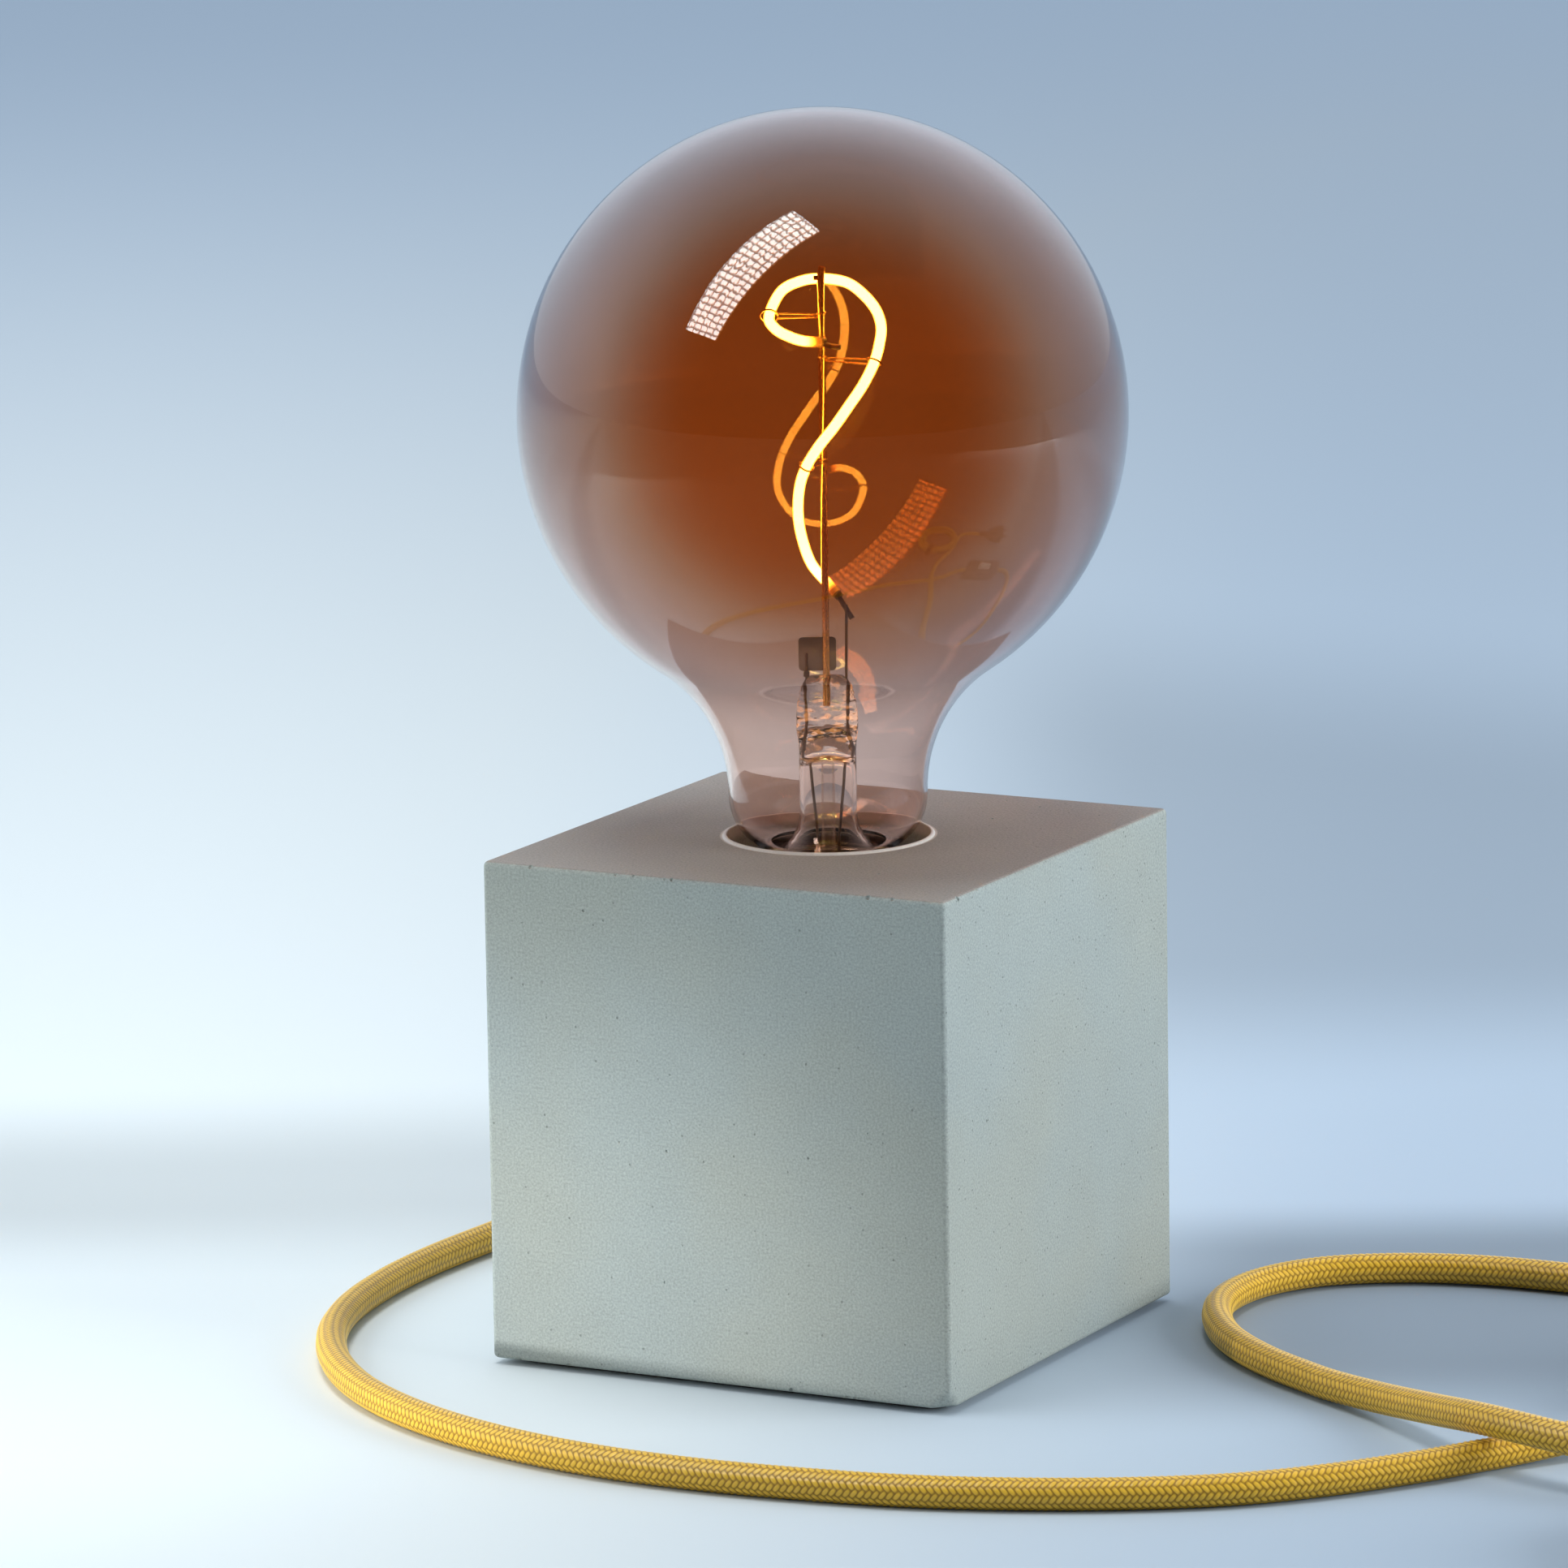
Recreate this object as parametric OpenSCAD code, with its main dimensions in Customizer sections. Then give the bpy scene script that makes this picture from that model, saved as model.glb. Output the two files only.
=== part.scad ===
// Cube table lamp: a cast concrete cube with a lampholder sunk in its top, a large globe filament
// lamp screwed into it, and a textile flex with an in-line rocker switch and a flat two-pin plug.
// Millimetres. Origin on the surface that the lamp stands on, under the middle of the cube.
// +Z is up, -Y is the large front face and +Y is the back, where the flex comes out.

/* [Concrete cube] */
// Width and depth of the cube
cube_w = 105; // [98:1:120]
// Height of the cube
cube_h = 104.3; // [98:0.1:120]
// Radius of the cube's edges
edge_r = 1.6; // [0.5:0.1:4]
// Diameter of the bore that takes the lampholder
bore_d = 42; // [41:0.5:50]
// Chamfer round the mouth of the bore
mouth_chamfer = 0.8; // [0.2:0.1:2]
// Thickness of the web that the lampholder stands on
web_t = 10; // [6:0.5:12]
// Width of the wiring recess in the bottom
recess_w = 60; // [48:1:70]
// Corner radius of the wiring recess
recess_r = 2; // [2:0.5:10]

/* [Base pad] */
// Thickness of the soft pad
pad_t = 1.2; // [0.8:0.1:4]
// Distance of the pad's edge from the side of the cube
pad_inset = 4; // [2:0.5:12]
// Corner radius of the pad
pad_r = 4; // [1:0.5:10]

/* [Lampholder] */
// Outer diameter of the lampholder
holder_d = 39; // [38:0.5:40.5]
// Length of the lampholder from its rim to its foot
holder_len = 56; // [52:0.5:60]
// Depth of the lampholder's rim under the top of the cube
rim_inset = 5.5; // [4.5:0.5:8]
// Length of the upper sleeve
skirt_len = 38; // [36:0.5:40]
// Wall thickness of the sleeve and the dome
holder_wall = 2; // [1.4:0.1:2]
// Thickness of the sleeve's rim
lip_t = 2.5; // [1.5:0.1:4]
// Radius of the opening in the rim
lip_r = 14.8; // [14:0.1:16]
// Corner radius of the dome
dome_r = 10; // [4:0.5:10]
// Height of the dome's spigot inside the sleeve
spigot_h = 5; // [3:0.5:6]
// Wall thickness of the spigot
spigot_wall = 1.6; // [1:0.1:2]
// Height of the threaded collar inside the dome
collar_h = 9; // [6:0.5:10]
// Wall thickness of that collar
collar_wall = 2.5; // [1.5:0.1:3.5]
// Outer diameter of the threaded brass shell
shell_d = 28.4; // [28.2:0.1:29]
// Thickness of the contact strips
strip_t = 0.6; // [0.4:0.1:0.8]
// Width of the contact strips
strip_w = 6; // [4:0.5:8]
// Height of the bump on the centre contact
bump_h = 0.8; // [0.6:0.1:1.2]
// Distance of the terminal screws from the axis
terminal_x = 9; // [8:0.5:10]
// Diameter of the terminal screws
terminal_d = 3; // [2.5:0.5:3.5]

/* [Threaded tube and nut] */
// Outer diameter of the hollow threaded tube
nipple_d = 10; // [9:0.5:12]
// Bore of the hollow threaded tube
nipple_bore = 8; // [7:0.5:8]
// Length of tube below the nut
nipple_end = 1.5; // [0.5:0.5:4]
// Thickness of the nut
nut_t = 4; // [3:0.5:5]
// Width of the nut across its flats
nut_af = 14; // [13:0.5:17]
// Thickness of each washer
washer_t = 1; // [0.6:0.1:1.5]
// Outer diameter of each washer
washer_d = 22; // [18:0.5:30]

/* [Globe lamp] */
// Diameter of the globe
globe_d = 125; // [95:1:130]
// Diameter of the glass neck
neck_d = 41; // [36:0.5:41.5]
// Straight length of the glass neck
neck_len = 1; // [0.5:0.5:10]
// Radius of the flare between neck and globe
flare_r = 31.5; // [20:0.5:45]
// Radius of the shoulder over the cap
shoulder_r = 11.5; // [9.5:0.1:14]
// Thickness of the glass
glass_t = 0.8; // [0.5:0.1:1.2]
// Height of the screw cap from tip to rim
cap_h = 25.7; // [24:0.1:30]
// Outer diameter of the cap's thread
cap_thread_d = 26.2; // [26:0.1:26.4]
// Depth of the round thread
thread_depth = 0.9; // [0.6:0.1:1]
// Pitch of the round thread
thread_pitch = 3.629; // [3.5:0.001:3.7]
// Running clearance of the round thread
thread_play = 0.3; // [0.25:0.01:0.4]
// Depth of the cap's tip under the rim of the lampholder
tip_depth = 22.5; // [21:0.1:23.5]
// Diameter of the glass stem
stem_d = 11.8; // [9:0.2:14]
// Diameter of the exhaust tube
exhaust_d = 2.8; // [2:0.1:4]
// Width of the pinched top of the stem
pinch_w = 12.7; // [11:0.1:15]
// Thickness of the pinched top of the stem
pinch_d = 5; // [4:0.1:7]
// Height of the pinched top of the stem
pinch_h = 11.3; // [8:0.1:14]
// Distance of the pinch's top under the middle of the globe
pinch_drop = 54.3; // [50:0.1:60]
// Diameter of the support post
post_d = 1.5; // [1:0.1:2.5]
// Height of the support post over the middle of the globe
post_rise = 29.9; // [28:0.1:34]
// Diameter of the flexible light filament
filament_d = 2.3; // [1.6:0.1:2.6]
// Radius of the filament's winding at its widest
winding_r = 12.2; // [11:0.1:14]
// Height of the filament's winding
winding_h = 64.5; // [58:0.5:70]
// Diameter of the lead wires
lead_d = 0.6; // [0.4:0.1:0.8]
// Diameter of the hooks' wire
hook_d = 0.45; // [0.3:0.05:0.6]
// Direction that the filament faces when the lamp is screwed home
filament_turn = 27.5; // [0:0.5:90]

/* [Flex] */
// Diameter of the textile flex
cord_d = 6.5; // [5.5:0.1:6.8]
// Diameter of each insulated core
core_d = 2.4; // [2:0.1:2.6]
// Height of the flex's hole over the pad
exit_h = 11.8; // [10:0.1:14]
// Gap between turns of the coil
coil_gap = 0.6; // [0.5:0.1:1.5]
// Radius of the outermost turn of the coil
coil_r = 38.5; // [38:0.5:42]
// Number of turns in the coil
coil_turns = 3; // [3:1:5]
// Width of the strap that holds the coil
tie_w = 9; // [5:0.5:14]
// Thickness of that strap
tie_t = 0.8; // [0.5:0.1:0.9]

/* [Cord bushing] */
// Diameter of the bushing's shank
shank_d = 12; // [10:0.5:14]
// Diameter of the bushing's flange
flange_d = 17; // [15:0.5:22]
// Thickness of the bushing's flange
flange_t = 2; // [1:0.1:4]
// Length of the tapered sleeve
boot_len = 8; // [5:0.5:12]
// Diameter of the tapered sleeve where it leaves the flange
boot_d1 = 12; // [10:0.1:14]
// Diameter of the tapered sleeve at its tip
boot_d2 = 9; // [8.4:0.1:10]
// Thickness of the bushing's nut
gland_nut_t = 4; // [3:0.5:6]
// Width of the bushing's nut across its flats
gland_nut_af = 17; // [16:0.5:19]

/* [In-line switch] */
// Length of the switch
switch_len = 60; // [56:1:66]
// Width of the switch
switch_w = 27; // [26:0.5:32]
// Height of the switch
switch_h = 18; // [17.5:0.5:20]
// Height of the joint between its two shells
split_h = 8.5; // [7.5:0.1:9]
// Wall thickness of its shells
switch_wall = 2; // [1.4:0.1:2.2]
// Corner radius of its shells
switch_r = 3.5; // [2:0.1:4]
// Thickness of its end walls, which grip the flex
grip_len = 8; // [6:0.5:9]
// Width of the rocker
rocker_w = 11; // [9:0.5:12]
// Radius of the rocker's ends about its pivot
rocker_r = 11; // [10:0.5:12]
// Height of the rocker's middle over its pivot
rocker_h = 6; // [5.5:0.1:7]
// Depth of the rocker's pivot under the top of the switch
pivot_drop = 4.5; // [4:0.1:5]
// Diameter of the rocker's pivot pins
pivot_d = 3; // [2:0.1:3.4]
// Tilt of the rocker to each side
rocker_tilt = 7; // [5:0.5:9]

/* [Plug] */
// Width of the plug
plug_w = 35.3; // [33:0.1:37]
// Thickness of the plug
plug_t = 13.7; // [12.5:0.1:15]
// Length of the plug's body
plug_len = 36; // [32:0.5:42]
// Length of the plug's full-width front
plug_front = 15; // [10:0.5:20]
// Width of the plug's narrow end
plug_neck_w = 13; // [12:0.5:18]
// Length of the plug's tapered sleeve
relief_len = 22; // [20:0.5:30]
// Distance between the pins
pin_pitch = 18.6; // [17:0.1:19.5]
// Diameter of the pins
pin_d = 4; // [3.5:0.1:4.5]
// Length of the pins
pin_len = 19; // [17:0.5:20]
// Length of the pins' insulating sleeves
pin_sleeve_len = 10; // [8:0.5:11]

/* [Hidden] */
$fn = 64;
eps = 0.01;
// Clearance of screwed and slipped-in fits
fit = 0.1;
// Clearance round moving contacts
touch = 0.1;

// Heights in the lampholder, from the top of the cube down
top_z = pad_t + cube_h;
rim_z = top_z - rim_inset;
skirt_z = rim_z - skirt_len;
holder_z = rim_z - holder_len;
shelf_z = holder_z - washer_t;
recess_z = shelf_z - web_t;
nut_z = recess_z - washer_t - nut_t;
nipple_z = nut_z - nipple_end;
core_z = skirt_z + spigot_h;
core_top_z = rim_z - lip_t;
tip_z = rim_z - tip_depth;
floor_z = tip_z - touch - bump_h - strip_t;
ledge_h = 2;
ledge_z = floor_z + ledge_h;
sleeve_bore_r = holder_d / 2 - holder_wall;
core_r = sleeve_bore_r - 2 * fit;
shell_r = shell_d / 2;
ledge_r = shell_r - 2.2;
shell_flange_r = ledge_r - 1.5;
shell_wall_b = 0.6;
collar_r = nipple_d / 2 + collar_wall;
strip_end = ledge_r - 0.6;

// Round thread: a mean radius and half its depth
thread_a = thread_depth / 2;
thread_r = cap_thread_d / 2 - thread_a;
thread_sides = 24;
thread_steps = 8;

// Heights in the globe lamp, from its tip up
tip_h = 1.8;
tip_d = 9.6;
insulator_h = 4.2;
thread_z = tip_z + tip_h + insulator_h;
collar_cap_h = 3.2;
cap_rim_z = tip_z + cap_h;
cap_thread_top = cap_rim_z - collar_cap_h;
cap_bore_r = thread_r - thread_a - 0.6;
cap_collar_r = cap_thread_d / 2 + 0.4;
cap_collar_bore = cap_collar_r - 0.5;
tail_r = cap_collar_bore - 2 * fit;
tail_len = collar_cap_h - 2 * fit;
glass_foot_z = cap_rim_z - tail_len;
shoulder_end_r = cap_collar_bore + 0.3;
shoulder_x = neck_d / 2 - shoulder_r;
shoulder_z = cap_rim_z + sqrt(shoulder_r * shoulder_r - pow(shoulder_end_r - shoulder_x, 2));
waist_z = shoulder_z + neck_len;
flare_x = neck_d / 2 + flare_r;
flare_reach = globe_d / 2 + flare_r;
flare_rise = sqrt(flare_reach * flare_reach - flare_x * flare_x);
globe_z = waist_z + flare_rise;
pinch_top = globe_z - pinch_drop;
pinch_z = pinch_top - pinch_h;
post_top = globe_z + post_rise;
stem_wall = 1;
stem_flare_h = 9;
stem_flare_r = 1.5;
stem_flare_lip = 1.6;
stem_bend_h = 4;
stem_neck_z = pinch_z - 4;
// The stem is closed this far down from where it turns into the pinch
stem_plug_h = 0.5;
board_t = 1;
board_z = thread_z + 1;
board_h = 13;
board_w = 2 * sqrt(pow(cap_bore_r - fit, 2) - board_t * board_t);
board_top = board_z + board_h;
part_gap = 1;
part_inset = 1.5;

// Filament: angle round the post, distance from it and height over the globe's middle, as drawn
// for the widest radius and the height that follow
FILAMENT = [
  [267, 2.2, 15], [231, 5.8, 15.6], [220, 8.6, 16.7], [206, 10.4, 18.2], [180, 10.6, 20.1],
  [148, 9.5, 24.5], [118, 8.2, 26.3], [86, 8, 26.6], [55, 9.2, 25.8], [34, 10.4, 23.6],
  [15, 11.6, 20.7], [0, 12.2, 17.6], [-12, 12, 14.4], [-23, 11.6, 11.1], [-38, 10.6, 6.8],
  [-55, 9.2, 2.5], [-74, 8.3, -1.6], [-97, 7.5, -5.7], [-120, 6.9, -10], [-143, 6.1, -14.4],
  [-180, 5.3, -20.2], [-203, 5.1, -25.6], [-227, 4.2, -31.4], [-270, 3.2, -35.2],
  [-318, 3.3, -37.9]
];
drawn_r = max([for (p = FILAMENT) p[1]]);
drawn_h = max([for (p = FILAMENT) p[2]]) - min([for (p = FILAMENT) p[2]]);
function wound(x, y, z) =
  [x * winding_r / drawn_r, y * winding_r / drawn_r, globe_z + z * winding_h / drawn_h];
filament_line = [for (p = FILAMENT) wound(p[1] * cos(p[0]), p[1] * sin(p[0]), p[2])];
filament_rings = 60;
// The hooks hold the filament at these points of the list
HOOKS = [4, 13, 18];
end_top = wound(3.8, -3.2, 14);
end_low = wound(5.5, 0.5, -42.8);
// A wire from the post is welded to the top end this far along it, and the right lead wire
// to the low end
weld_top = 0.25;
weld_low = 0.55;
lead_x = 4.1;
lead_low_x = 2.1;
lead_low_z = board_top + 1;
pinch_r = 2.3;
plate_left = -5.7;
plate_w = 7.8;
plate_h = 7.2;
plate_t = 0.4;
plate_z = pinch_top + 0.6;

// Flex: the hole at the back, the two ends inside, and the free route
cord_r = cord_d / 2;
wire_r = core_d / 2;
exit_z = pad_t + exit_h;
back_y = cube_w / 2;
recess_y = recess_w / 2;
boot_y = back_y + flange_t + boot_len;
sheath_y = 12;
core_x = 1.6;

// Coil
coil_x = 256;
coil_y = -82;
coil_z1 = cord_r + 1;
coil_pitch = cord_d + coil_gap;
coil_sides = 6;
coil_rings = 24;
coil_lead = cord_d;

// Switch and plug on the table
switch_x = 196;
switch_y = 0;
switch_mid_y = switch_y + switch_len / 2;
switch_cord_z = 8.5;
pivot_z = switch_h - pivot_drop;
pivot_len = 2;
pivot_fit = 0.05;
ear_t = 2.5;
ear_w = 7;
rocker_gap = 0.3;
switch_screw_d = 3;
terminal_y = 14;
terminal_len = 9;
switch_pocket = 2.5;
switch_screw_hole = 6;
switch_screw_x = switch_w / 2 - switch_wall - switch_screw_d - fit - 0.4;
switch_screw_y = switch_len / 2 - grip_len / 2 - 0.5;
plug_x = 290;
relief_y = 0;
plug_y = relief_y + relief_len;
plug_face_y = plug_y + plug_len;
plug_z = plug_t / 2;
plug_r = 3;
pin_root = 8;
pin_core_d = pin_d - 1.4;
pin_sleeve_d = pin_d - 0.4;
pin_chamfer = 1;

// Free flex from the bushing round the front of the lamp to the switch; lie is its height
// where it lies on the table
lie = cord_r;
LAMP_RUN = [
  [0, boot_y, exit_z], [0, boot_y + 11.5, 12.9], [-0.5, 87, 11.8], [-5, 100, 9], [-15, 110.5, 6],
  [-29, 115, 4], [-46, 113, lie], [-65, 104, lie], [-82, 87, lie], [-93, 67, lie], [-98, 46, lie],
  [-100, 26, lie], [-101, 6, lie], [-100, -14, lie], [-96, -36, lie], [-88, -57, lie], [-75, -77, lie],
  [-58, -94, lie], [-38, -107, lie], [-16, -116, lie], [7, -121, lie], [30, -122, lie],
  [53, -120, lie], [75, -116, lie], [96, -109, lie], [115, -100, lie], [132, -89, lie],
  [146, -75, lie], [158, -59, lie], [168, -43, lie], [179, -28, 4.5], [190, -14, 7.5],
  [switch_x, switch_y, switch_cord_z]
];
// Free flex from the switch round the loop, over the first run, to the coil
LOOP_RUN = [
  [switch_x, switch_y + switch_len, switch_cord_z], [196, 71, 7.7], [192, 83.5, 5.8],
  [182, 92.7, 4.2], [167, 96, lie], [148, 94.5, lie], [130, 92, lie], [110, 91, lie], [92, 86, lie],
  [77, 76, lie], [69, 62, lie], [68, 46, lie], [73, 31, lie], [83, 16, lie], [97, 3, lie],
  [114, -8, lie], [131, -18, 4.3], [148, -31, 7], [166, -45, 10.1], [186, -52, 10.1],
  [207, -52, 8], [228, -47, 5.5], [coil_x - coil_lead, coil_y + coil_r, coil_z1]
];
// Free flex from the coil to the plug
PLUG_RUN = [
  [coil_x + coil_lead, coil_y + coil_r, coil_z1 + coil_pitch], [272, -42, 10.4],
  [281, -36, 8.9], [287, -26, 7.6], [290, -13, plug_z], [plug_x, relief_y, plug_z]
];
lamp_rings = 44;
loop_rings = 28;
plug_rings = 6;
cord_sides = 8;

// A smooth line through the points: at(points, u) for u from 0 to the last point's number
function pt(p, i) =
  i < 0 ? 2 * p[0] - p[1] :
  i > len(p) - 1 ? 2 * p[len(p) - 1] - p[len(p) - 2] : p[i];
function blend(a, b, c, d, t) =
  0.5 * (2 * b + (c - a) * t + (2 * a - 5 * b + 4 * c - d) * t * t
  + (3 * b - a - 3 * c + d) * t * t * t);
function at(p, u) =
  let (i = min(floor(u), len(p) - 2))
  blend(pt(p, i - 1), pt(p, i), pt(p, i + 1), pt(p, i + 2), u - i);
function line(p, n) = [for (i = [0 : n]) at(p, i * (len(p) - 1) / n)];
function unit(v) = v / norm(v);
// The same line, nowhere lower than a cord that lies on the table
function on_table(q) = [for (p = q) [p[0], p[1], max(p[2], cord_r)]];
// Direction of a line of points at point i
function along(q, i) = unit(q[min(i + 1, len(q) - 1)] - q[max(i - 1, 0)]);

// One unbroken tube round a line of points; side is a direction that the line never takes.
// first and last give the directions of its two ends.
module tube(q, r, sides, side, first, last) {
  n = len(q);
  rings = [for (i = [0 : n - 1])
    let (t = i == 0 ? first : i == n - 1 ? last : along(q, i))
    let (a = unit(cross(side, t)))
    let (b = cross(t, a))
    for (k = [0 : sides - 1]) q[i] + r * (cos(360 * k / sides) * a + sin(360 * k / sides) * b)];
  walls = [for (i = [0 : n - 2], k = [0 : sides - 1])
    let (m = (k + 1) % sides)
    each [
      [i * sides + k, (i + 1) * sides + k, (i + 1) * sides + m],
      [i * sides + k, (i + 1) * sides + m, i * sides + m]
    ]];
  foot = [for (k = [1 : sides - 2]) [0, k, k + 1]];
  top = (n - 1) * sides;
  head = [for (k = [1 : sides - 2]) [top, top + k + 1, top + k]];
  polyhedron(rings, concat(walls, foot, head), convexity = 10);
}

// A round bar from one point to another
module rod(a, b, d) {
  v = b - a;
  translate(a)
    rotate([0, acos(v[2] / norm(v)), atan2(v[1], v[0])])
      cylinder(h = norm(v), d = d, $fn = 24);
}

// A ring of wire round a point, square to a direction
module wire_ring(c, v, r, d) {
  translate(c)
    rotate([0, acos(v[2] / norm(v)), atan2(v[1], v[0])])
      rotate_extrude($fn = 24)
        translate([r, 0])
          circle(d = d, $fn = 16);
}

module round_rect(w, d, r) {
  square([w - 2 * r, d], center = true);
  square([w, d - 2 * r], center = true);
  for (x = [-1, 1], y = [-1, 1])
    translate([x * (w / 2 - r), y * (d / 2 - r)])
      circle(r = r, $fn = 32);
}

// A block that stands on z = 0 with all its edges rounded
module soft_box(w, d, h, r) {
  intersection() {
    linear_extrude(h)
      round_rect(w, d, r);
    translate([0, d / 2, h / 2])
      rotate([90, 0, 0])
        linear_extrude(d)
          round_rect(w, h, r);
    translate([-w / 2, 0, h / 2])
      rotate([90, 0, 90])
        linear_extrude(w)
          round_rect(d, h, r);
  }
}

module ring(d1, d2, h) {
  difference() {
    cylinder(h = h, d = d1);
    translate([0, 0, -1])
      cylinder(h = h + 2, d = d2);
  }
}

module hex_nut(af, bore, h) {
  difference() {
    cylinder(h = h, d = af / cos(30), $fn = 6);
    translate([0, 0, -1])
      cylinder(h = h + 2, d = bore);
  }
}

// Concrete body

module concrete_cube() {
  color([0.62, 0.67, 0.65])
    difference() {
      translate([0, 0, pad_t])
        soft_box(cube_w, cube_w, cube_h, edge_r);
      translate([0, 0, shelf_z])
        cylinder(h = cube_h, d = bore_d);
      translate([0, 0, top_z - mouth_chamfer])
        cylinder(h = mouth_chamfer + eps, d1 = bore_d, d2 = bore_d + 2 * mouth_chamfer);
      translate([0, 0, recess_z - 1])
        cylinder(h = web_t + 2, d = nipple_d + 4 * fit);
      translate([0, 0, pad_t - 1])
        linear_extrude(recess_z - pad_t + 1)
          round_rect(recess_w, recess_w, recess_r);
      translate([0, recess_y - 1, exit_z])
        rotate([-90, 0, 0])
          cylinder(h = back_y, d = shank_d + 2 * fit);
    }
}

module base_pad() {
  color([0.16, 0.16, 0.17])
    linear_extrude(pad_t)
      round_rect(cube_w - 2 * pad_inset, cube_w - 2 * pad_inset, pad_r);
}

// Lampholder

module holder_sleeve() {
  edge = 1.2;
  color([0.10, 0.10, 0.11])
    rotate_extrude()
      polygon([
        [sleeve_bore_r, skirt_z], [holder_d / 2, skirt_z], [holder_d / 2, rim_z - edge],
        [holder_d / 2 - edge, rim_z], [lip_r, rim_z], [lip_r, core_top_z],
        [sleeve_bore_r, core_top_z]
      ]);
}

// Section of the dome, drawn in by t
module dome_section(t) {
  r = dome_r - t;
  w = holder_d / 2 - t;
  translate([0, holder_z + t])
    square([w - r, skirt_z - holder_z]);
  translate([0, holder_z + dome_r])
    square([w, skirt_z - holder_z - dome_r + t]);
  intersection() {
    translate([w - r, holder_z + dome_r])
      circle(r = r);
    translate([0, holder_z])
      square([w + 1, dome_r]);
  }
}

module holder_dome() {
  spigot_r = sleeve_bore_r - fit;
  color([0.10, 0.10, 0.11])
    difference() {
      union() {
        difference() {
          rotate_extrude()
            dome_section(0);
          rotate_extrude()
            dome_section(holder_wall);
          translate([0, 0, skirt_z])
            cylinder(h = holder_len, d = holder_d + 2);
        }
        translate([0, 0, holder_z])
          cylinder(h = collar_h, r = collar_r);
        translate([0, 0, skirt_z - spigot_h])
          ring(2 * sleeve_bore_r + fit, 2 * (spigot_r - spigot_wall), spigot_h);
        translate([0, 0, skirt_z - eps])
          ring(2 * spigot_r, 2 * (spigot_r - spigot_wall), spigot_h + eps);
      }
      translate([0, 0, holder_z - 1])
        cylinder(h = collar_h + 2, d = nipple_d + fit);
    }
}

module holder_core() {
  color([0.92, 0.91, 0.87])
    difference() {
      translate([0, 0, core_z])
        cylinder(h = core_top_z - core_z, r = core_r);
      translate([0, 0, ledge_z])
        cylinder(h = core_top_z, r = shell_r + fit);
      translate([0, 0, floor_z])
        cylinder(h = core_top_z, r = ledge_r);
      for (s = [-1, 1])
        translate([s * terminal_x, 0, core_z - 1])
          cylinder(h = floor_z, d = terminal_d + fit);
    }
}

// Round thread as a solid bar, between two heights; its turns stay in step at every height
module thread_bar(r, z1, z2) {
  n = ceil((z2 - z1) / thread_pitch * thread_steps);
  m = thread_sides;
  points = [for (i = [0 : n])
    let (z = z1 + (z2 - z1) * i / n)
    for (k = [0 : m - 1])
      let (a = 360 * k / m)
      let (d = r + thread_a * cos(a - 360 * z / thread_pitch))
      [d * cos(a), d * sin(a), z]];
  walls = [for (i = [0 : n - 1], k = [0 : m - 1])
    let (j = (k + 1) % m)
    each [
      [i * m + k, (i + 1) * m + k, (i + 1) * m + j],
      [i * m + k, (i + 1) * m + j, i * m + j]
    ]];
  foot = [for (k = [1 : m - 2]) [0, k, k + 1]];
  head = [for (k = [1 : m - 2]) [n * m, n * m + k + 1, n * m + k]];
  polyhedron(points, concat(walls, foot, head), convexity = 10);
}

module holder_shell() {
  color([0.83, 0.68, 0.36])
    difference() {
      translate([0, 0, ledge_z])
        cylinder(h = core_top_z - fit - ledge_z, r = shell_r);
      thread_bar(thread_r + thread_play, ledge_z + shell_wall_b, rim_z);
      translate([0, 0, ledge_z - 1])
        cylinder(h = ledge_h + 2, r = shell_flange_r);
    }
}

module centre_contact() {
  color([0.83, 0.68, 0.36]) {
    translate([-strip_w / 2, -strip_w / 2, floor_z])
      cube([strip_end + strip_w / 2, strip_w, strip_t]);
    translate([0, 0, floor_z])
      cylinder(h = strip_t + bump_h, d = strip_w - 1);
  }
}

module side_contact() {
  color([0.83, 0.68, 0.36])
    translate([-strip_end, -strip_w / 2, floor_z]) {
      cube([strip_end - terminal_x + strip_w / 2, strip_w, strip_t]);
      cube([strip_t, strip_w, ledge_h]);
    }
}

module terminal_screws() {
  head_h = 2;
  head_d = 2 * terminal_d;
  color([0.78, 0.78, 0.76])
    for (s = [-1, 1])
      translate([s * terminal_x, 0, 0]) {
        translate([0, 0, core_z])
          cylinder(h = floor_z - core_z, d = terminal_d);
        translate([0, 0, core_z - head_h])
          cylinder(h = head_h, d = head_d);
      }
}

module threaded_tube() {
  color([0.75, 0.74, 0.70])
    translate([0, 0, nipple_z])
      ring(nipple_d, nipple_bore, holder_z + collar_h - nipple_z);
}

module tube_nut() {
  color([0.75, 0.74, 0.70])
    translate([0, 0, nut_z])
      hex_nut(nut_af, nipple_d + fit, nut_t);
}

module tube_washers() {
  color([0.70, 0.70, 0.70])
    for (z = [recess_z - washer_t, shelf_z])
      translate([0, 0, z])
        ring(washer_d, nipple_d + 2 * fit, washer_t);
}

// Flex where the lamp holds it

module cord_bushing() {
  color([0.12, 0.12, 0.13])
    translate([0, 0, exit_z])
      rotate([-90, 0, 0])
        difference() {
          union() {
            translate([0, 0, recess_y - gland_nut_t - 1])
              cylinder(h = back_y - recess_y + gland_nut_t + 1 + eps, d = shank_d);
            translate([0, 0, back_y])
              cylinder(h = flange_t, d = flange_d);
            translate([0, 0, back_y + flange_t])
              cylinder(h = boot_len, d1 = boot_d1, d2 = boot_d2);
          }
          translate([0, 0, -1])
            cylinder(h = boot_y + 2, d = cord_d + 2 * fit);
        }
}

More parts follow.
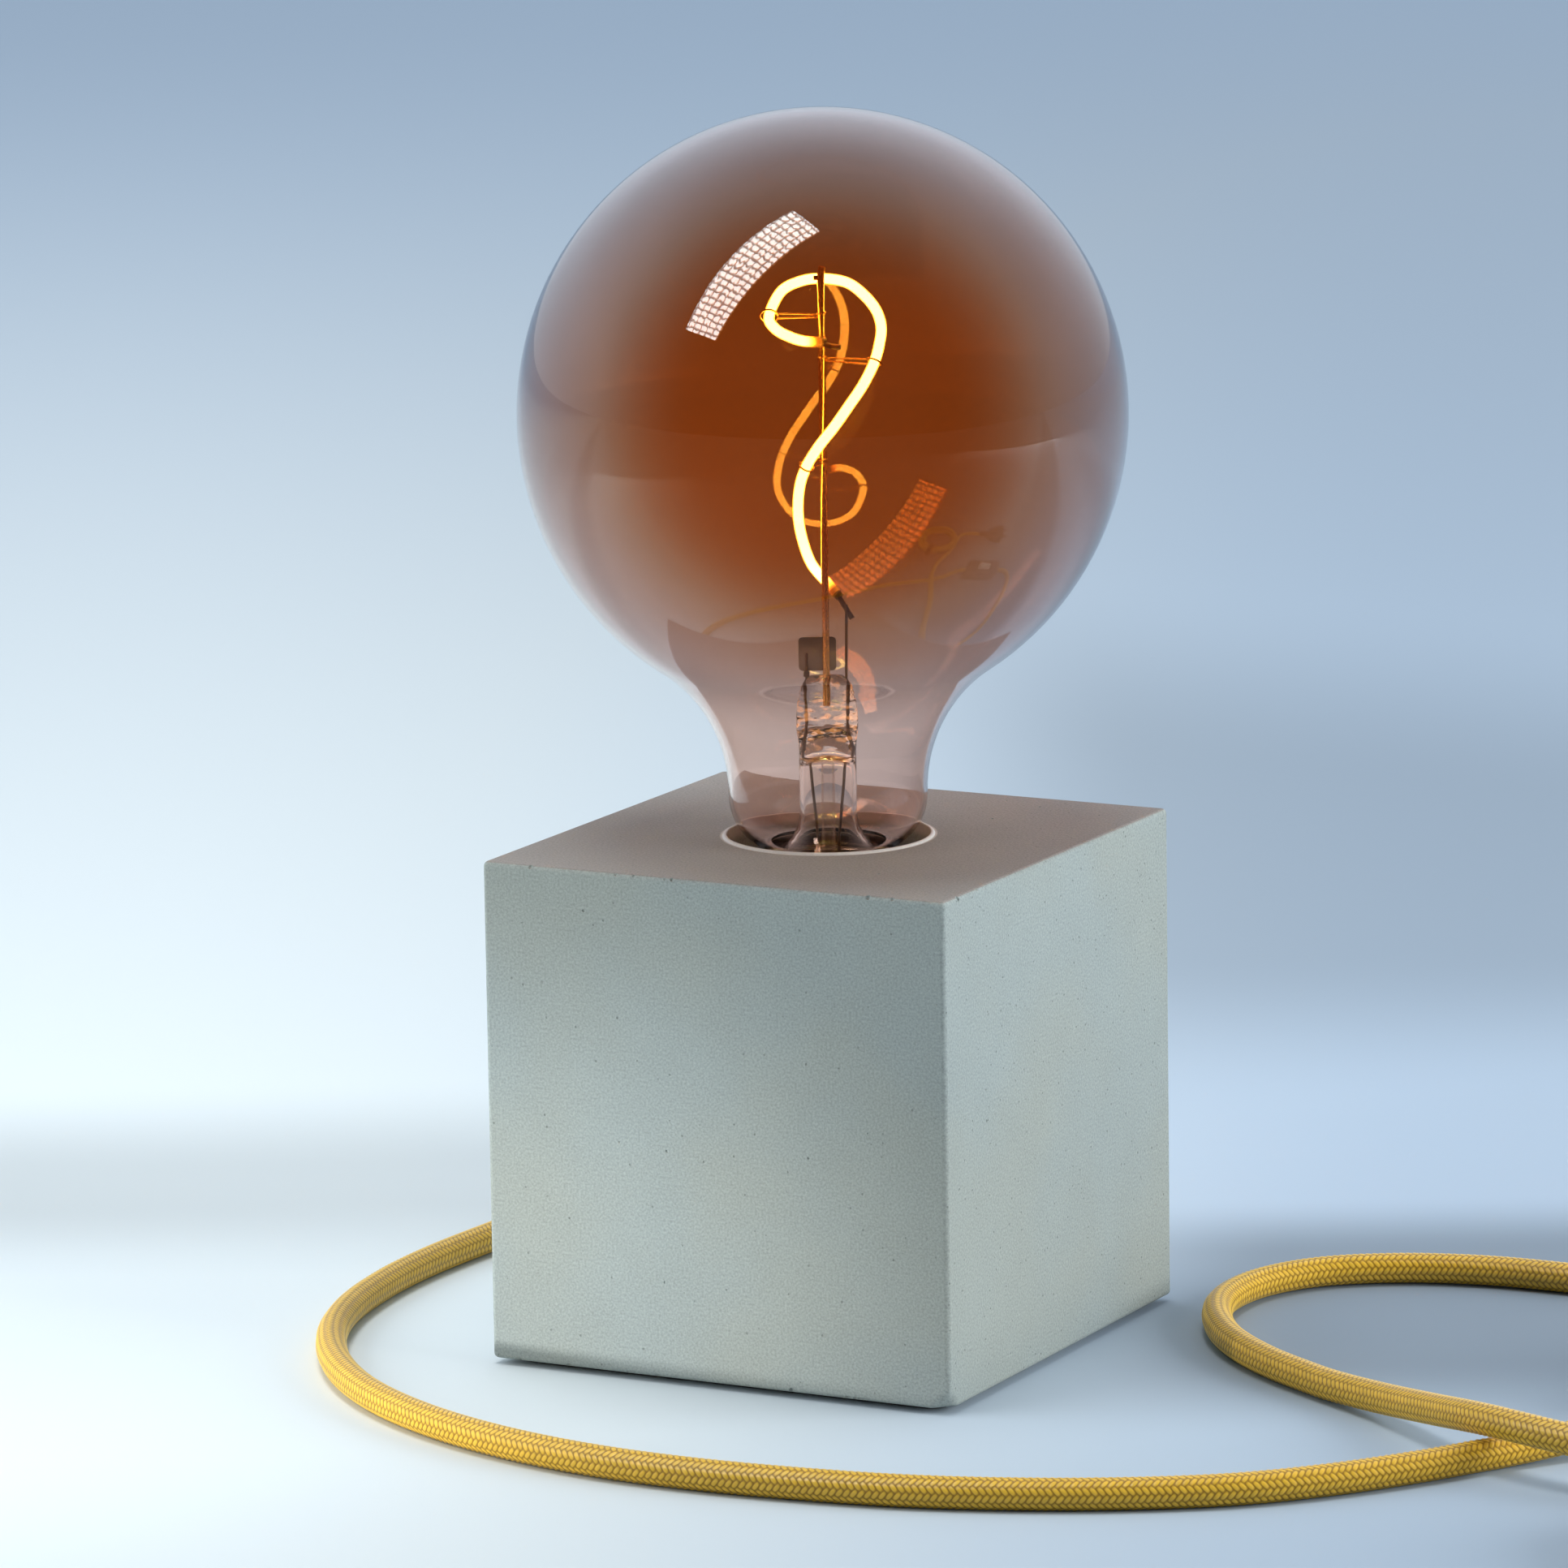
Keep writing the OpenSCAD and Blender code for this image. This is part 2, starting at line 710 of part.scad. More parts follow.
module bushing_nut() {
  color([0.12, 0.12, 0.13])
    translate([0, recess_y - gland_nut_t, exit_z])
      rotate([-90, 0, 0])
        hex_nut(gland_nut_af, shank_d + 2 * fit, gland_nut_t);
}

module pull_stop() {
  band_w = 4;
  band_t = 1.2;
  head = 5;
  color([0.9, 0.9, 0.88])
    translate([0, recess_y - gland_nut_t - 1 - 2 * band_w, exit_z])
      rotate([-90, 0, 0])
        difference() {
          union() {
            cylinder(h = band_w, d = cord_d + 2 * fit + 2 * band_t);
            translate([-head / 2, cord_r, 0])
              cube([head, head, band_w]);
          }
          translate([0, 0, -1])
            cylinder(h = band_w + 2, d = cord_d + 2 * fit);
        }
}

module inner_cord() {
  color([0.80, 0.62, 0.22])
    translate([0, sheath_y, exit_z])
      rotate([-90, 0, 0])
        cylinder(h = boot_y - sheath_y, d = cord_d);
}

module core(s) {
  high = core_z - 2;
  path = [
    [s * core_x, sheath_y, exit_z], [s * core_x, sheath_y - 5, exit_z],
    [s * core_x, 2, exit_z + 4], [s * core_x, 0, nipple_z - 2], [s * core_x, 0, nipple_z + 6],
    [s * core_x, 0, holder_z], [s * core_x, 0, holder_z + collar_h - 1],
    [s * terminal_x * 0.5, 0, high - 6], [s * terminal_x * 0.95, 0, high - 3],
    [s * terminal_x, 0, high]
  ];
  tube(line(path, 18), wire_r, 8, [1, 0, 0], [0, -1, 0], [0, 0, 1]);
}

module live_core() {
  color([0.42, 0.24, 0.12])
    core(1);
}

module neutral_core() {
  color([0.16, 0.32, 0.72])
    core(-1);
}

// Globe lamp

// Half section of the glass, drawn in by t
module glass_section(t) {
  r = globe_d / 2 - t;
  w = neck_d / 2 - t;
  s = shoulder_r - t;
  tangent = [r * flare_x / flare_reach, globe_z - r * flare_rise / flare_reach];
  intersection() {
    translate([0, globe_z])
      circle(r = r, $fn = 128);
    translate([0, globe_z - r - 1])
      square([r + 1, 2 * r + 2]);
  }
  difference() {
    translate([0, waist_z])
      square([tangent[0], tangent[1] - waist_z]);
    translate([flare_x, waist_z])
      circle(r = flare_r + t, $fn = 128);
  }
  intersection() {
    translate([0, cap_rim_z])
      square([w, 2 * shoulder_r]);
    union() {
      translate([shoulder_x, shoulder_z])
        circle(r = s);
      translate([0, shoulder_z - s])
        square([shoulder_x, 2 * s]);
      translate([0, shoulder_z])
        square([w, shoulder_r + neck_len]);
    }
  }
}

module globe_glass() {
  color([0.55, 0.38, 0.32, 0.45])
    rotate_extrude($fn = 128)
      difference() {
        union() {
          glass_section(0);
          translate([0, glass_foot_z])
            square([tail_r, tail_len]);
        }
        glass_section(glass_t);
        translate([0, glass_foot_z - 1])
          square([tail_r - glass_t, tail_len + 1 + glass_t]);
      }
}

module lamp_cap() {
  color([0.83, 0.80, 0.72])
    difference() {
      union() {
        thread_bar(thread_r, thread_z, cap_thread_top + eps);
        translate([0, 0, cap_thread_top])
          cylinder(h = collar_cap_h, r = cap_collar_r);
      }
      translate([0, 0, thread_z - 1])
        cylinder(h = cap_h, r = cap_bore_r);
      translate([0, 0, glass_foot_z - fit])
        cylinder(h = cap_h, r = cap_collar_bore);
    }
}

module cap_insulator() {
  color([0.10, 0.09, 0.10])
    difference() {
      translate([0, 0, tip_z + tip_h])
        cylinder(h = insulator_h, r1 = tip_d / 2 + 1.2, r2 = cap_bore_r + 0.4);
      translate([0, 0, tip_z])
        cylinder(h = cap_h, d = 2 * lead_d);
    }
}

module cap_tip() {
  color([0.78, 0.78, 0.76])
    rotate_extrude()
      polygon([
        [0, tip_z], [tip_d / 4, tip_z], [tip_d / 2 - 0.6, tip_z + 0.5], [tip_d / 2, tip_z + 1.2],
        [tip_d / 2, tip_z + tip_h - touch], [0, tip_z + tip_h - touch]
      ]);
}

module driver_board() {
  color([0.86, 0.87, 0.82])
    rotate([0, 0, filament_turn])
      translate([-board_w / 2, -board_t / 2, board_z])
        cube([board_w, board_t, board_h]);
}

module driver_parts() {
  can = [5, 8];
  block = [5, 2.4, 4];
  coil = [6, 1.8, 5];
  color([0.15, 0.15, 0.18])
    rotate([0, 0, filament_turn]) {
      translate([-part_gap - can[0] / 2, (board_t + can[0]) / 2, board_z + part_inset])
        cylinder(h = can[1], d = can[0]);
      translate([part_gap + part_gap / 2, board_t / 2, board_z + 2 * part_inset])
        cube(block);
      translate([-coil[0] / 2, -board_t / 2 - coil[1], board_z + 2 * part_inset])
        cube(coil);
    }
}

// The parts inside the globe stand round the post, turned with the filament
module in_globe() {
  rotate([0, 0, filament_turn])
    children();
}

module glass_stem() {
  r = stem_d / 2;
  foot_r = tail_r - glass_t;
  bend_z = glass_foot_z + stem_flare_h;
  color([0.85, 0.85, 0.82, 0.5])
    in_globe() {
      rotate_extrude()
        polygon([
          [r - stem_wall, stem_neck_z], [r, stem_neck_z], [r, bend_z + stem_bend_h],
          [r + stem_flare_r, bend_z - stem_wall], [foot_r, glass_foot_z + stem_flare_r],
          [foot_r, glass_foot_z], [foot_r - stem_flare_lip, glass_foot_z],
          [r, bend_z - 2 * stem_wall], [r - stem_wall, bend_z + stem_bend_h - stem_wall]
        ]);
      hull() {
        translate([0, 0, stem_neck_z - stem_plug_h])
          cylinder(h = stem_plug_h, r = r);
        translate([0, 0, pinch_z])
          linear_extrude(stem_plug_h)
            round_rect(pinch_w - 2 * pinch_r, pinch_d - 2 * pinch_r, eps);
      }
      translate([0, 0, pinch_z])
        soft_box(pinch_w, pinch_d, pinch_h, pinch_r);
    }
}

module exhaust_tube() {
  low = board_top + 1;
  color([0.85, 0.85, 0.82, 0.5])
    translate([0, 0, low])
      ring(exhaust_d, exhaust_d - 1.2, stem_neck_z - stem_plug_h - low);
}

module support_post() {
  color([0.45, 0.40, 0.33])
    in_globe() {
      translate([0, 0, pinch_z + pinch_h / 2])
        cylinder(h = post_top - pinch_z - pinch_h / 2, d = post_d);
      translate([0, 0, post_top])
        sphere(d = post_d, $fn = 24);
    }
}

module bridge_plate() {
  color([0.62, 0.60, 0.55])
    in_globe()
      translate([plate_left + plate_w / 2, post_d / 2, plate_z + plate_h / 2])
        rotate([-90, 0, 0])
          linear_extrude(plate_t)
            round_rect(plate_w, plate_h, 1);
}

module lead_wire(s, high) {
  path = concat(
    [[s * lead_low_x, 0, board_top], [s * lead_low_x, 0, lead_low_z], [s * lead_x, 0, pinch_z]],
    high
  );
  tube(path, lead_d / 2, 8, [0, 1, 0], [0, 0, 1], [0, 0, 1]);
}

module lead_wires() {
  q = filament_line;
  n = len(q) - 1;
  on_plate = post_d / 2 - lead_d / 2;
  color([0.55, 0.50, 0.42])
    in_globe() {
      lead_wire(-1, [[-lead_x, 0, pinch_top], [-lead_x, on_plate, plate_z + 1],
        [-lead_x, on_plate, plate_z + 4]]);
      lead_wire(1, [[lead_x, 0, pinch_top], q[n] + weld_low * (end_low - q[n])]);
      rod([0, 0, tip_z + tip_h], [0, 0, board_z], lead_d);
    }
}

module filament() {
  q = line(filament_line, filament_rings);
  n = len(q) - 1;
  color([1.0, 0.86, 0.45])
    in_globe()
      tube(q, filament_d / 2, 10, [0, 0, 1], unit(q[1] - q[0]), unit(q[n] - q[n - 1]));
}

module filament_ends() {
  q = filament_line;
  n = len(q) - 1;
  color([0.35, 0.28, 0.22])
    in_globe() {
      rod(q[0], end_top, filament_d / 2);
      rod([0, 0, q[0][2] + 0.6], q[0] + weld_top * (end_top - q[0]), hook_d);
      rod(q[n], end_low, filament_d / 2);
    }
}

module filament_hooks() {
  color([0.55, 0.45, 0.33])
    in_globe()
      for (i = HOOKS) {
        c = filament_line[i];
        r = filament_d / 2 + hook_d / 2 + fit;
        out = unit([c[0], c[1], 0]);
        rod([out[0] * post_d / 4, out[1] * post_d / 4, c[2]], c - out * r, hook_d);
        wire_ring(c, along(filament_line, i), r, hook_d);
      }
}

// Flex on the table

module cord_lamp_run() {
  color([0.80, 0.62, 0.22])
    tube(on_table(line(LAMP_RUN, lamp_rings)), cord_r, cord_sides, [0, 0, 1], [0, 1, 0], [0, 1, 0]);
}

module cord_loop_run() {
  color([0.80, 0.62, 0.22])
    tube(on_table(line(LOOP_RUN, loop_rings)), cord_r, cord_sides, [0, 0, 1], [0, 1, 0], [1, 0, 0]);
}

module cord_plug_run() {
  color([0.80, 0.62, 0.22])
    tube(on_table(line(PLUG_RUN, plug_rings)), cord_r, cord_sides, [0, 0, 1], [1, 0, 0], [0, 1, 0]);
}

// The coil winds in on the table and out again on top of itself, from its back and round to it.
// Its radius and height at t turns; it climbs in the half turn where it reverses.
function coil_ring_r(t) = coil_r - coil_pitch * (coil_turns / 2 - abs(coil_turns / 2 - t));
function coil_ring_z(t) =
  let (s = max(0, min(1, 2 * (t - coil_turns / 2) + 0.5)))
  coil_z1 + coil_pitch * (1 - cos(180 * s)) / 2;
function coil_point(t) = [
  coil_x + coil_ring_r(t) * sin(360 * t),
  coil_y + coil_ring_r(t) * cos(360 * t),
  coil_ring_z(t)
];
coil_last = coil_turns * coil_rings;
coil_turn_line = [for (i = [0 : coil_last]) coil_point(i / coil_rings)];
coil_line = concat(
  [coil_turn_line[0] - [coil_lead, 0, 0]], coil_turn_line, [coil_turn_line[coil_last] + [coil_lead, 0, 0]]
);
coil_clear = min([for (i = [0 : coil_last - 12], j = [i + 12 : coil_last])
  norm(coil_turn_line[i] - coil_turn_line[j])]) - cord_d;
echo(str("coil: least gap between its turns ", coil_clear, " mm"));

module cord_coil() {
  color([0.80, 0.62, 0.22])
    tube(coil_line, cord_r, coil_sides, [0, 0, 1], [1, 0, 0], [1, 0, 0]);
}

// The strap holds the turns on the coil's left side. Over its width the turns bend inwards by
// the lean.
module coil_strap() {
  radii = [for (k = [0 : coil_turns - 1]) coil_ring_r(k + 0.75)];
  slope = coil_pitch / (2 * PI * min(radii));
  lean = (tan(180 / coil_rings) + slope) * tie_w / 2;
  inner = min(radii) - lean - cord_r - fit;
  outer = max(radii) + cord_r + fit;
  under = coil_z1 - cord_r - fit;
  over = coil_z1 + coil_pitch + cord_r + fit;
  color([0.14, 0.14, 0.15])
    translate([coil_x - outer, coil_y - tie_w / 2, 0])
      difference() {
        translate([-tie_t, 0, under - tie_t])
          cube([outer - inner + 2 * tie_t, tie_w, over - under + 2 * tie_t]);
        translate([0, -1, under])
          cube([outer - inner, tie_w + 2, over - under]);
      }
}

// In-line switch

module switch_block() {
  translate([switch_x, switch_mid_y, 0])
    soft_box(switch_w, switch_len, switch_h, switch_r);
}

module switch_hollow(z1, z2) {
  translate([switch_x - switch_w / 2 + switch_wall, switch_y + grip_len, z1])
    cube([switch_w - 2 * switch_wall, switch_len - 2 * grip_len, z2 - z1]);
}

// The flex in both end walls, drawn longer at each end by over
module switch_flex(d, over) {
  for (y = [switch_y, switch_y + switch_len - grip_len])
    translate([switch_x, y - over, switch_cord_z])
      rotate([-90, 0, 0])
        cylinder(h = grip_len + 2 * over, d = d);
}

module at_switch_screws() {
  for (s = [-1, 1])
    translate([switch_x + s * switch_screw_x, switch_mid_y + s * switch_screw_y, 0])
      children();
}

module switch_base() {
  color([0.13, 0.13, 0.14])
    difference() {
      intersection() {
        switch_block();
        translate([switch_x - switch_w, switch_y - 1, 0])
          cube([2 * switch_w, switch_len + 2, split_h]);
      }
      switch_hollow(switch_wall, split_h + 1);
      switch_flex(cord_d + fit, 1);
      at_switch_screws()
        translate([0, 0, -1]) {
          cylinder(h = split_h + 2, d = switch_screw_d + 2 * fit);
          cylinder(h = 1 + switch_pocket, d = 2 * switch_screw_d + 2 * fit);
        }
    }
}

module switch_cover() {
  window_w = rocker_w + 2 * rocker_gap;
  window_l = 2 * (rocker_r + rocker_gap);
  color([0.13, 0.13, 0.14])
    difference() {
      union() {
        difference() {
          intersection() {
            switch_block();
            translate([switch_x - switch_w, switch_y - 1, split_h])
              cube([2 * switch_w, switch_len + 2, switch_h]);
          }
          switch_hollow(split_h - 1, switch_h - switch_wall);
        }
        for (s = [-1, 1])
          translate([switch_x + s * (window_w / 2 + ear_t / 2), switch_mid_y, pivot_z - 3])
            translate([-ear_t / 2, -ear_w / 2, 0])
              cube([ear_t, ear_w, switch_h - switch_wall - pivot_z + 3 + eps]);
      }
      translate([switch_x - window_w / 2, switch_mid_y - window_l / 2, pivot_z])
        cube([window_w, window_l, switch_h]);
      translate([switch_x - window_w / 2 - ear_t - 1, switch_mid_y, pivot_z])
        rotate([0, 90, 0])
          cylinder(h = window_w + 2 * ear_t + 2, d = pivot_d + 2 * pivot_fit);
      switch_flex(cord_d + fit, 1);
      at_switch_screws()
        translate([0, 0, split_h - 1])
          cylinder(h = 1 + switch_screw_hole, d = switch_screw_d);
    }
}

// The rocker is drawn pressed down at its far end, which is where it rests
module switch_rocker() {
  flat = pivot_z - split_h;
  color([0.93, 0.92, 0.88])
    translate([switch_x, switch_mid_y, pivot_z])
      rotate([-rocker_tilt, 0, 0]) {
        translate([-rocker_w / 2, 0, 0])
          rotate([90, 0, 90])
            linear_extrude(rocker_w)
              intersection() {
                circle(r = rocker_r);
                polygon([
                  [-2 * rocker_r, -1], [-3, -1], [-1.5, 1 - flat], [1.5, 1 - flat], [3, -1],
                  [2 * rocker_r, -1], [2 * rocker_r, rocker_h + 2 * rocker_r * tan(rocker_tilt)],
                  [0, rocker_h], [-2 * rocker_r, rocker_h + 2 * rocker_r * tan(rocker_tilt)]
                ]);
              }
        translate([-rocker_w / 2 - pivot_len, 0, 0])
          rotate([0, 90, 0])
            cylinder(h = rocker_w + 2 * pivot_len, d = pivot_d);
      }
}

module switch_terminals() {
  block = [7, terminal_len, 6];
  color([0.83, 0.68, 0.36])
    for (s = [-1, 1])
      translate([
        switch_x - block[0] / 2 + 2, switch_mid_y + s * terminal_y - block[1] / 2, switch_wall
      ])
        cube(block);
}

module switch_spring() {
  strip = [5, 2 * (terminal_y - fit) - terminal_len, 0.5];
  color([0.86, 0.62, 0.38])
    translate([switch_x - strip[0] / 2 + 1, switch_mid_y - strip[1] / 2, switch_wall]) {
      cube([strip[0], strip[1], strip[2]]);
      translate([0, strip[1] / 2 - 1.5, 0])
        cube([strip[0], 3, 3]);
    }
}

module switch_leads() {
  run = switch_len - 2 * grip_len;
  stub = run / 2 - terminal_y - terminal_len / 2;
  color([0.80, 0.62, 0.22])
    switch_flex(cord_d, 0);
  color([0.16, 0.32, 0.72])
    translate([switch_x - 3, switch_y + grip_len, switch_cord_z - 1])
      rotate([-90, 0, 0])
        cylinder(h = run, d = core_d);
  color([0.42, 0.24, 0.12])
    for (y = [switch_y + grip_len, switch_y + switch_len - grip_len - stub])
      translate([switch_x + 1.5, y, switch_cord_z - 1.8])
        rotate([-90, 0, 0])
          cylinder(h = stub, d = core_d);
}

module switch_screws() {
  color([0.75, 0.75, 0.75])
    at_switch_screws() {
      translate([0, 0, 1])
        cylinder(h = 1.5, d = 2 * switch_screw_d);
      translate([0, 0, 1])
        cylinder(h = split_h + 4, d = switch_screw_d);
    }
}

// Plug

module plug_outline() {
  w = plug_w / 2;
  n = plug_neck_w / 2;
  polygon([
    [-n, plug_y], [n, plug_y], [w, plug_face_y - plug_front], [w, plug_face_y],
    [-w, plug_face_y], [-w, plug_face_y - plug_front]
  ]);
}

module at_pins() {
  for (s = [-1, 1])
    translate([plug_x + s * pin_pitch / 2, plug_face_y, plug_z])
      rotate([-90, 0, 0])
        children();
}

module plug_body() {
  color([0.13, 0.13, 0.14])
    difference() {
      intersection() {
        translate([plug_x, 0, 0])
          linear_extrude(plug_t)
            plug_outline();
        translate([plug_x, plug_y + plug_len / 2, 0])
          soft_box(plug_w, plug_len, plug_t, plug_r);
      }
      at_pins()
        translate([0, 0, -pin_root])
          cylinder(h = pin_root + 1, d = pin_core_d + fit);
    }
}

module plug_relief() {
  ribs = 4;
  step = (relief_len - 6) / ribs;
  color([0.13, 0.13, 0.14])
    translate([plug_x, relief_y, plug_z])
      rotate([-90, 0, 0]) {
        cylinder(h = relief_len, d1 = cord_d + 1, d2 = cord_d + 3);
        for (i = [0 : ribs - 1])
          translate([0, 0, 4 + i * step])
            cylinder(h = step / 2, d = cord_d + 3 + i * 0.6);
      }
}

module plug_pins() {
  color([0.85, 0.85, 0.86])
    at_pins() {
      translate([0, 0, -pin_root])
        cylinder(h = pin_root + pin_sleeve_len, d = pin_core_d);
      translate([0, 0, pin_sleeve_len])
        cylinder(h = pin_len - pin_sleeve_len - pin_chamfer, d = pin_d);
      translate([0, 0, pin_len - pin_chamfer])
        cylinder(h = pin_chamfer, d1 = pin_d, d2 = pin_d - 2 * pin_chamfer);
    }
}

module pin_sleeves() {
  color([0.16, 0.16, 0.17])
    at_pins()
      ring(pin_sleeve_d, pin_core_d + fit, pin_sleeve_len);
}

concrete_cube();
base_pad();
holder_sleeve();
holder_dome();
holder_core();
holder_shell();
centre_contact();
side_contact();
terminal_screws();
threaded_tube();
tube_nut();
tube_washers();
cord_bushing();
bushing_nut();
pull_stop();
inner_cord();
live_core();
neutral_core();
globe_glass();
lamp_cap();
cap_insulator();
cap_tip();
driver_board();
driver_parts();
glass_stem();
exhaust_tube();
support_post();
bridge_plate();
lead_wires();
filament();
filament_ends();
filament_hooks();
cord_lamp_run();
cord_loop_run();
cord_coil();
cord_plug_run();
coil_strap();
switch_base();
switch_cover();
switch_rocker();
switch_terminals();
switch_spring();
switch_leads();
switch_screws();
plug_body();
plug_relief();
plug_pins();
pin_sleeves();
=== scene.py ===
import math
import random

import bmesh
import bpy
from mathutils import Matrix, Vector


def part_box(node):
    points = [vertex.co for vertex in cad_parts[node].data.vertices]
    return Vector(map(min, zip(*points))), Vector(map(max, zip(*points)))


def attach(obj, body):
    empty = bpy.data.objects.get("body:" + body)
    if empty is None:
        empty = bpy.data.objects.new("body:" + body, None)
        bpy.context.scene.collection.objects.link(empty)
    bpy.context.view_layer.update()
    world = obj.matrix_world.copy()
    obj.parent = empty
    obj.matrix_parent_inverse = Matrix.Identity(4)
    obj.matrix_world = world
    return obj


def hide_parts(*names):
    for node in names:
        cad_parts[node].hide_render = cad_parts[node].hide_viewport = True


bl_info = {
    "name": "Cube table lamp",
    "version": (1, 0, 0),
    "blender": (4, 5, 0),
    "location": "3D View > Sidebar > Cube lamp",
    "description": "Dresses the cube table lamp with its concrete, glass, filament, flex and fittings",
    "category": "Object",
}

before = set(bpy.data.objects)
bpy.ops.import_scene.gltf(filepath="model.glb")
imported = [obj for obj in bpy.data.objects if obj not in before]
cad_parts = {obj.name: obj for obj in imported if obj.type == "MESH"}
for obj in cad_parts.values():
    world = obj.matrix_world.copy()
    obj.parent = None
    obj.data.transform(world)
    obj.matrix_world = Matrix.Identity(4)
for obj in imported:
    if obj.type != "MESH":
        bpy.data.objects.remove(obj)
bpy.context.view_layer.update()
MM = 0.001


# Settings of each group

def a_length(name, description, low, high, default):
    """A setting for a size."""
    return bpy.props.FloatProperty(
        name=name, description=description, unit="LENGTH", min=low, max=high, default=default)


def a_colour(name, description, *default):
    """A setting for a colour."""
    return bpy.props.FloatVectorProperty(
        name=name, description=description, subtype="COLOR", size=3, min=0, max=1,
        default=default)


def an_amount(name, description, low, high, default, unit="NONE"):
    """A setting for a strength or a power."""
    return bpy.props.FloatProperty(
        name=name, description=description, unit=unit, min=low, max=high, default=default)


def a_number(name, description, low, high, default):
    """A setting for a count."""
    return bpy.props.IntProperty(
        name=name, description=description, min=low, max=high, default=default)


class ConcreteSettings(bpy.types.PropertyGroup):
    """Sizes and colours of the cast concrete"""

    colour: a_colour("Concrete colour", "Colour of the dry surface", 0.312, 0.353, 0.340)
    grain: a_length("Grain", "Size of the sand grain", 0.0002, 0.003, 0.0005)
    edge: a_length("Edge radius", "Radius of the cast edges", 0.0005, 0.004, 0.0011)
    corner: a_length("Worn corner", "Size of the worn corner at the front foot", 0.001, 0.008, 0.0042)
    pits: a_number("Pits", "Number of small pits and chips", 0, 200, 90)


class GlassSettings(bpy.types.PropertyGroup):
    """Tint of the globe and light of its filament"""

    tint: a_colour("Glass tint", "Colour of light through one wall of the globe", 0.665, 0.258, 0.085)
    rim_tint: a_colour("Rim tint", "Colour of light through one wall at a slant", 0.685, 0.585, 0.575)
    neck_tint: a_colour("Neck tint", "Colour of light through one wall of the neck", 0.93, 0.745, 0.67)
    wall: a_length("Wall", "Thickness of the glass", 0.0004, 0.0012, 0.0008)
    glow: an_amount("Glow", "Strength of the filament's light", 0, 200, 28)


class FlexSettings(bpy.types.PropertyGroup):
    """Sizes and colour of the textile flex"""

    diameter: a_length("Diameter", "Diameter of the flex over its braid", 0.005, 0.007, 0.0065)
    colour: a_colour("Yarn colour", "Colour of the rayon yarn", 0.82, 0.50, 0.045)
    rows: a_number("Rows", "Rows of stitches round the flex, an even number", 8, 20, 12)
    pitch: a_length("Stitch pitch", "Length of one stitch along the flex", 0.0008, 0.003, 0.00142)
    relief: a_length("Relief", "Height of a stitch over the grooves", 0, 0.0005, 0.0002)


class StageSettings(bpy.types.PropertyGroup):
    """Floor, light and camera"""

    floor: a_colour("Floor colour", "Colour of the floor", 0.80, 0.87, 0.89)
    strip: an_amount("Strip light", "Power of the strip that the globe mirrors", 0, 100, 8, "POWER")
    above: an_amount("Light from above", "Strength of the soft light from above", 0, 20, 1.36)
    fill: an_amount("Fill light", "Power of the side lights", 0, 100, 16, "POWER")
    world: an_amount("Surroundings", "Strength of the light from all round", 0, 3, 1.15)
    lens: an_amount("Lens", "Focal length of the camera, in millimetres", 50, 400, 216.88)


SETTINGS = {
    "concrete": ConcreteSettings, "glass": GlassSettings, "flex": FlexSettings,
    "stage": StageSettings,
}


def chosen(group):
    """The settings of one group in this scene."""
    return getattr(bpy.context.scene, "cube_lamp_" + group)


# Shader maths

def sums(operation):
    """A method of a value that adds a Math node."""
    return lambda value, other: value.finish.math(operation, value, other)


class Value:
    """A socket of a material that takes part in sums"""

    def __init__(self, finish, socket):
        self.finish = finish
        self.socket = socket

    def __rsub__(self, other):
        return self.finish.math("SUBTRACT", other, self)

    __add__ = __radd__ = sums("ADD")
    __sub__ = sums("SUBTRACT")
    __mul__ = __rmul__ = sums("MULTIPLY")
    __truediv__ = sums("DIVIDE")
    __pow__ = sums("POWER")
    __mod__ = sums("FLOORED_MODULO")
    __gt__ = sums("GREATER_THAN")
    __lt__ = sums("LESS_THAN")


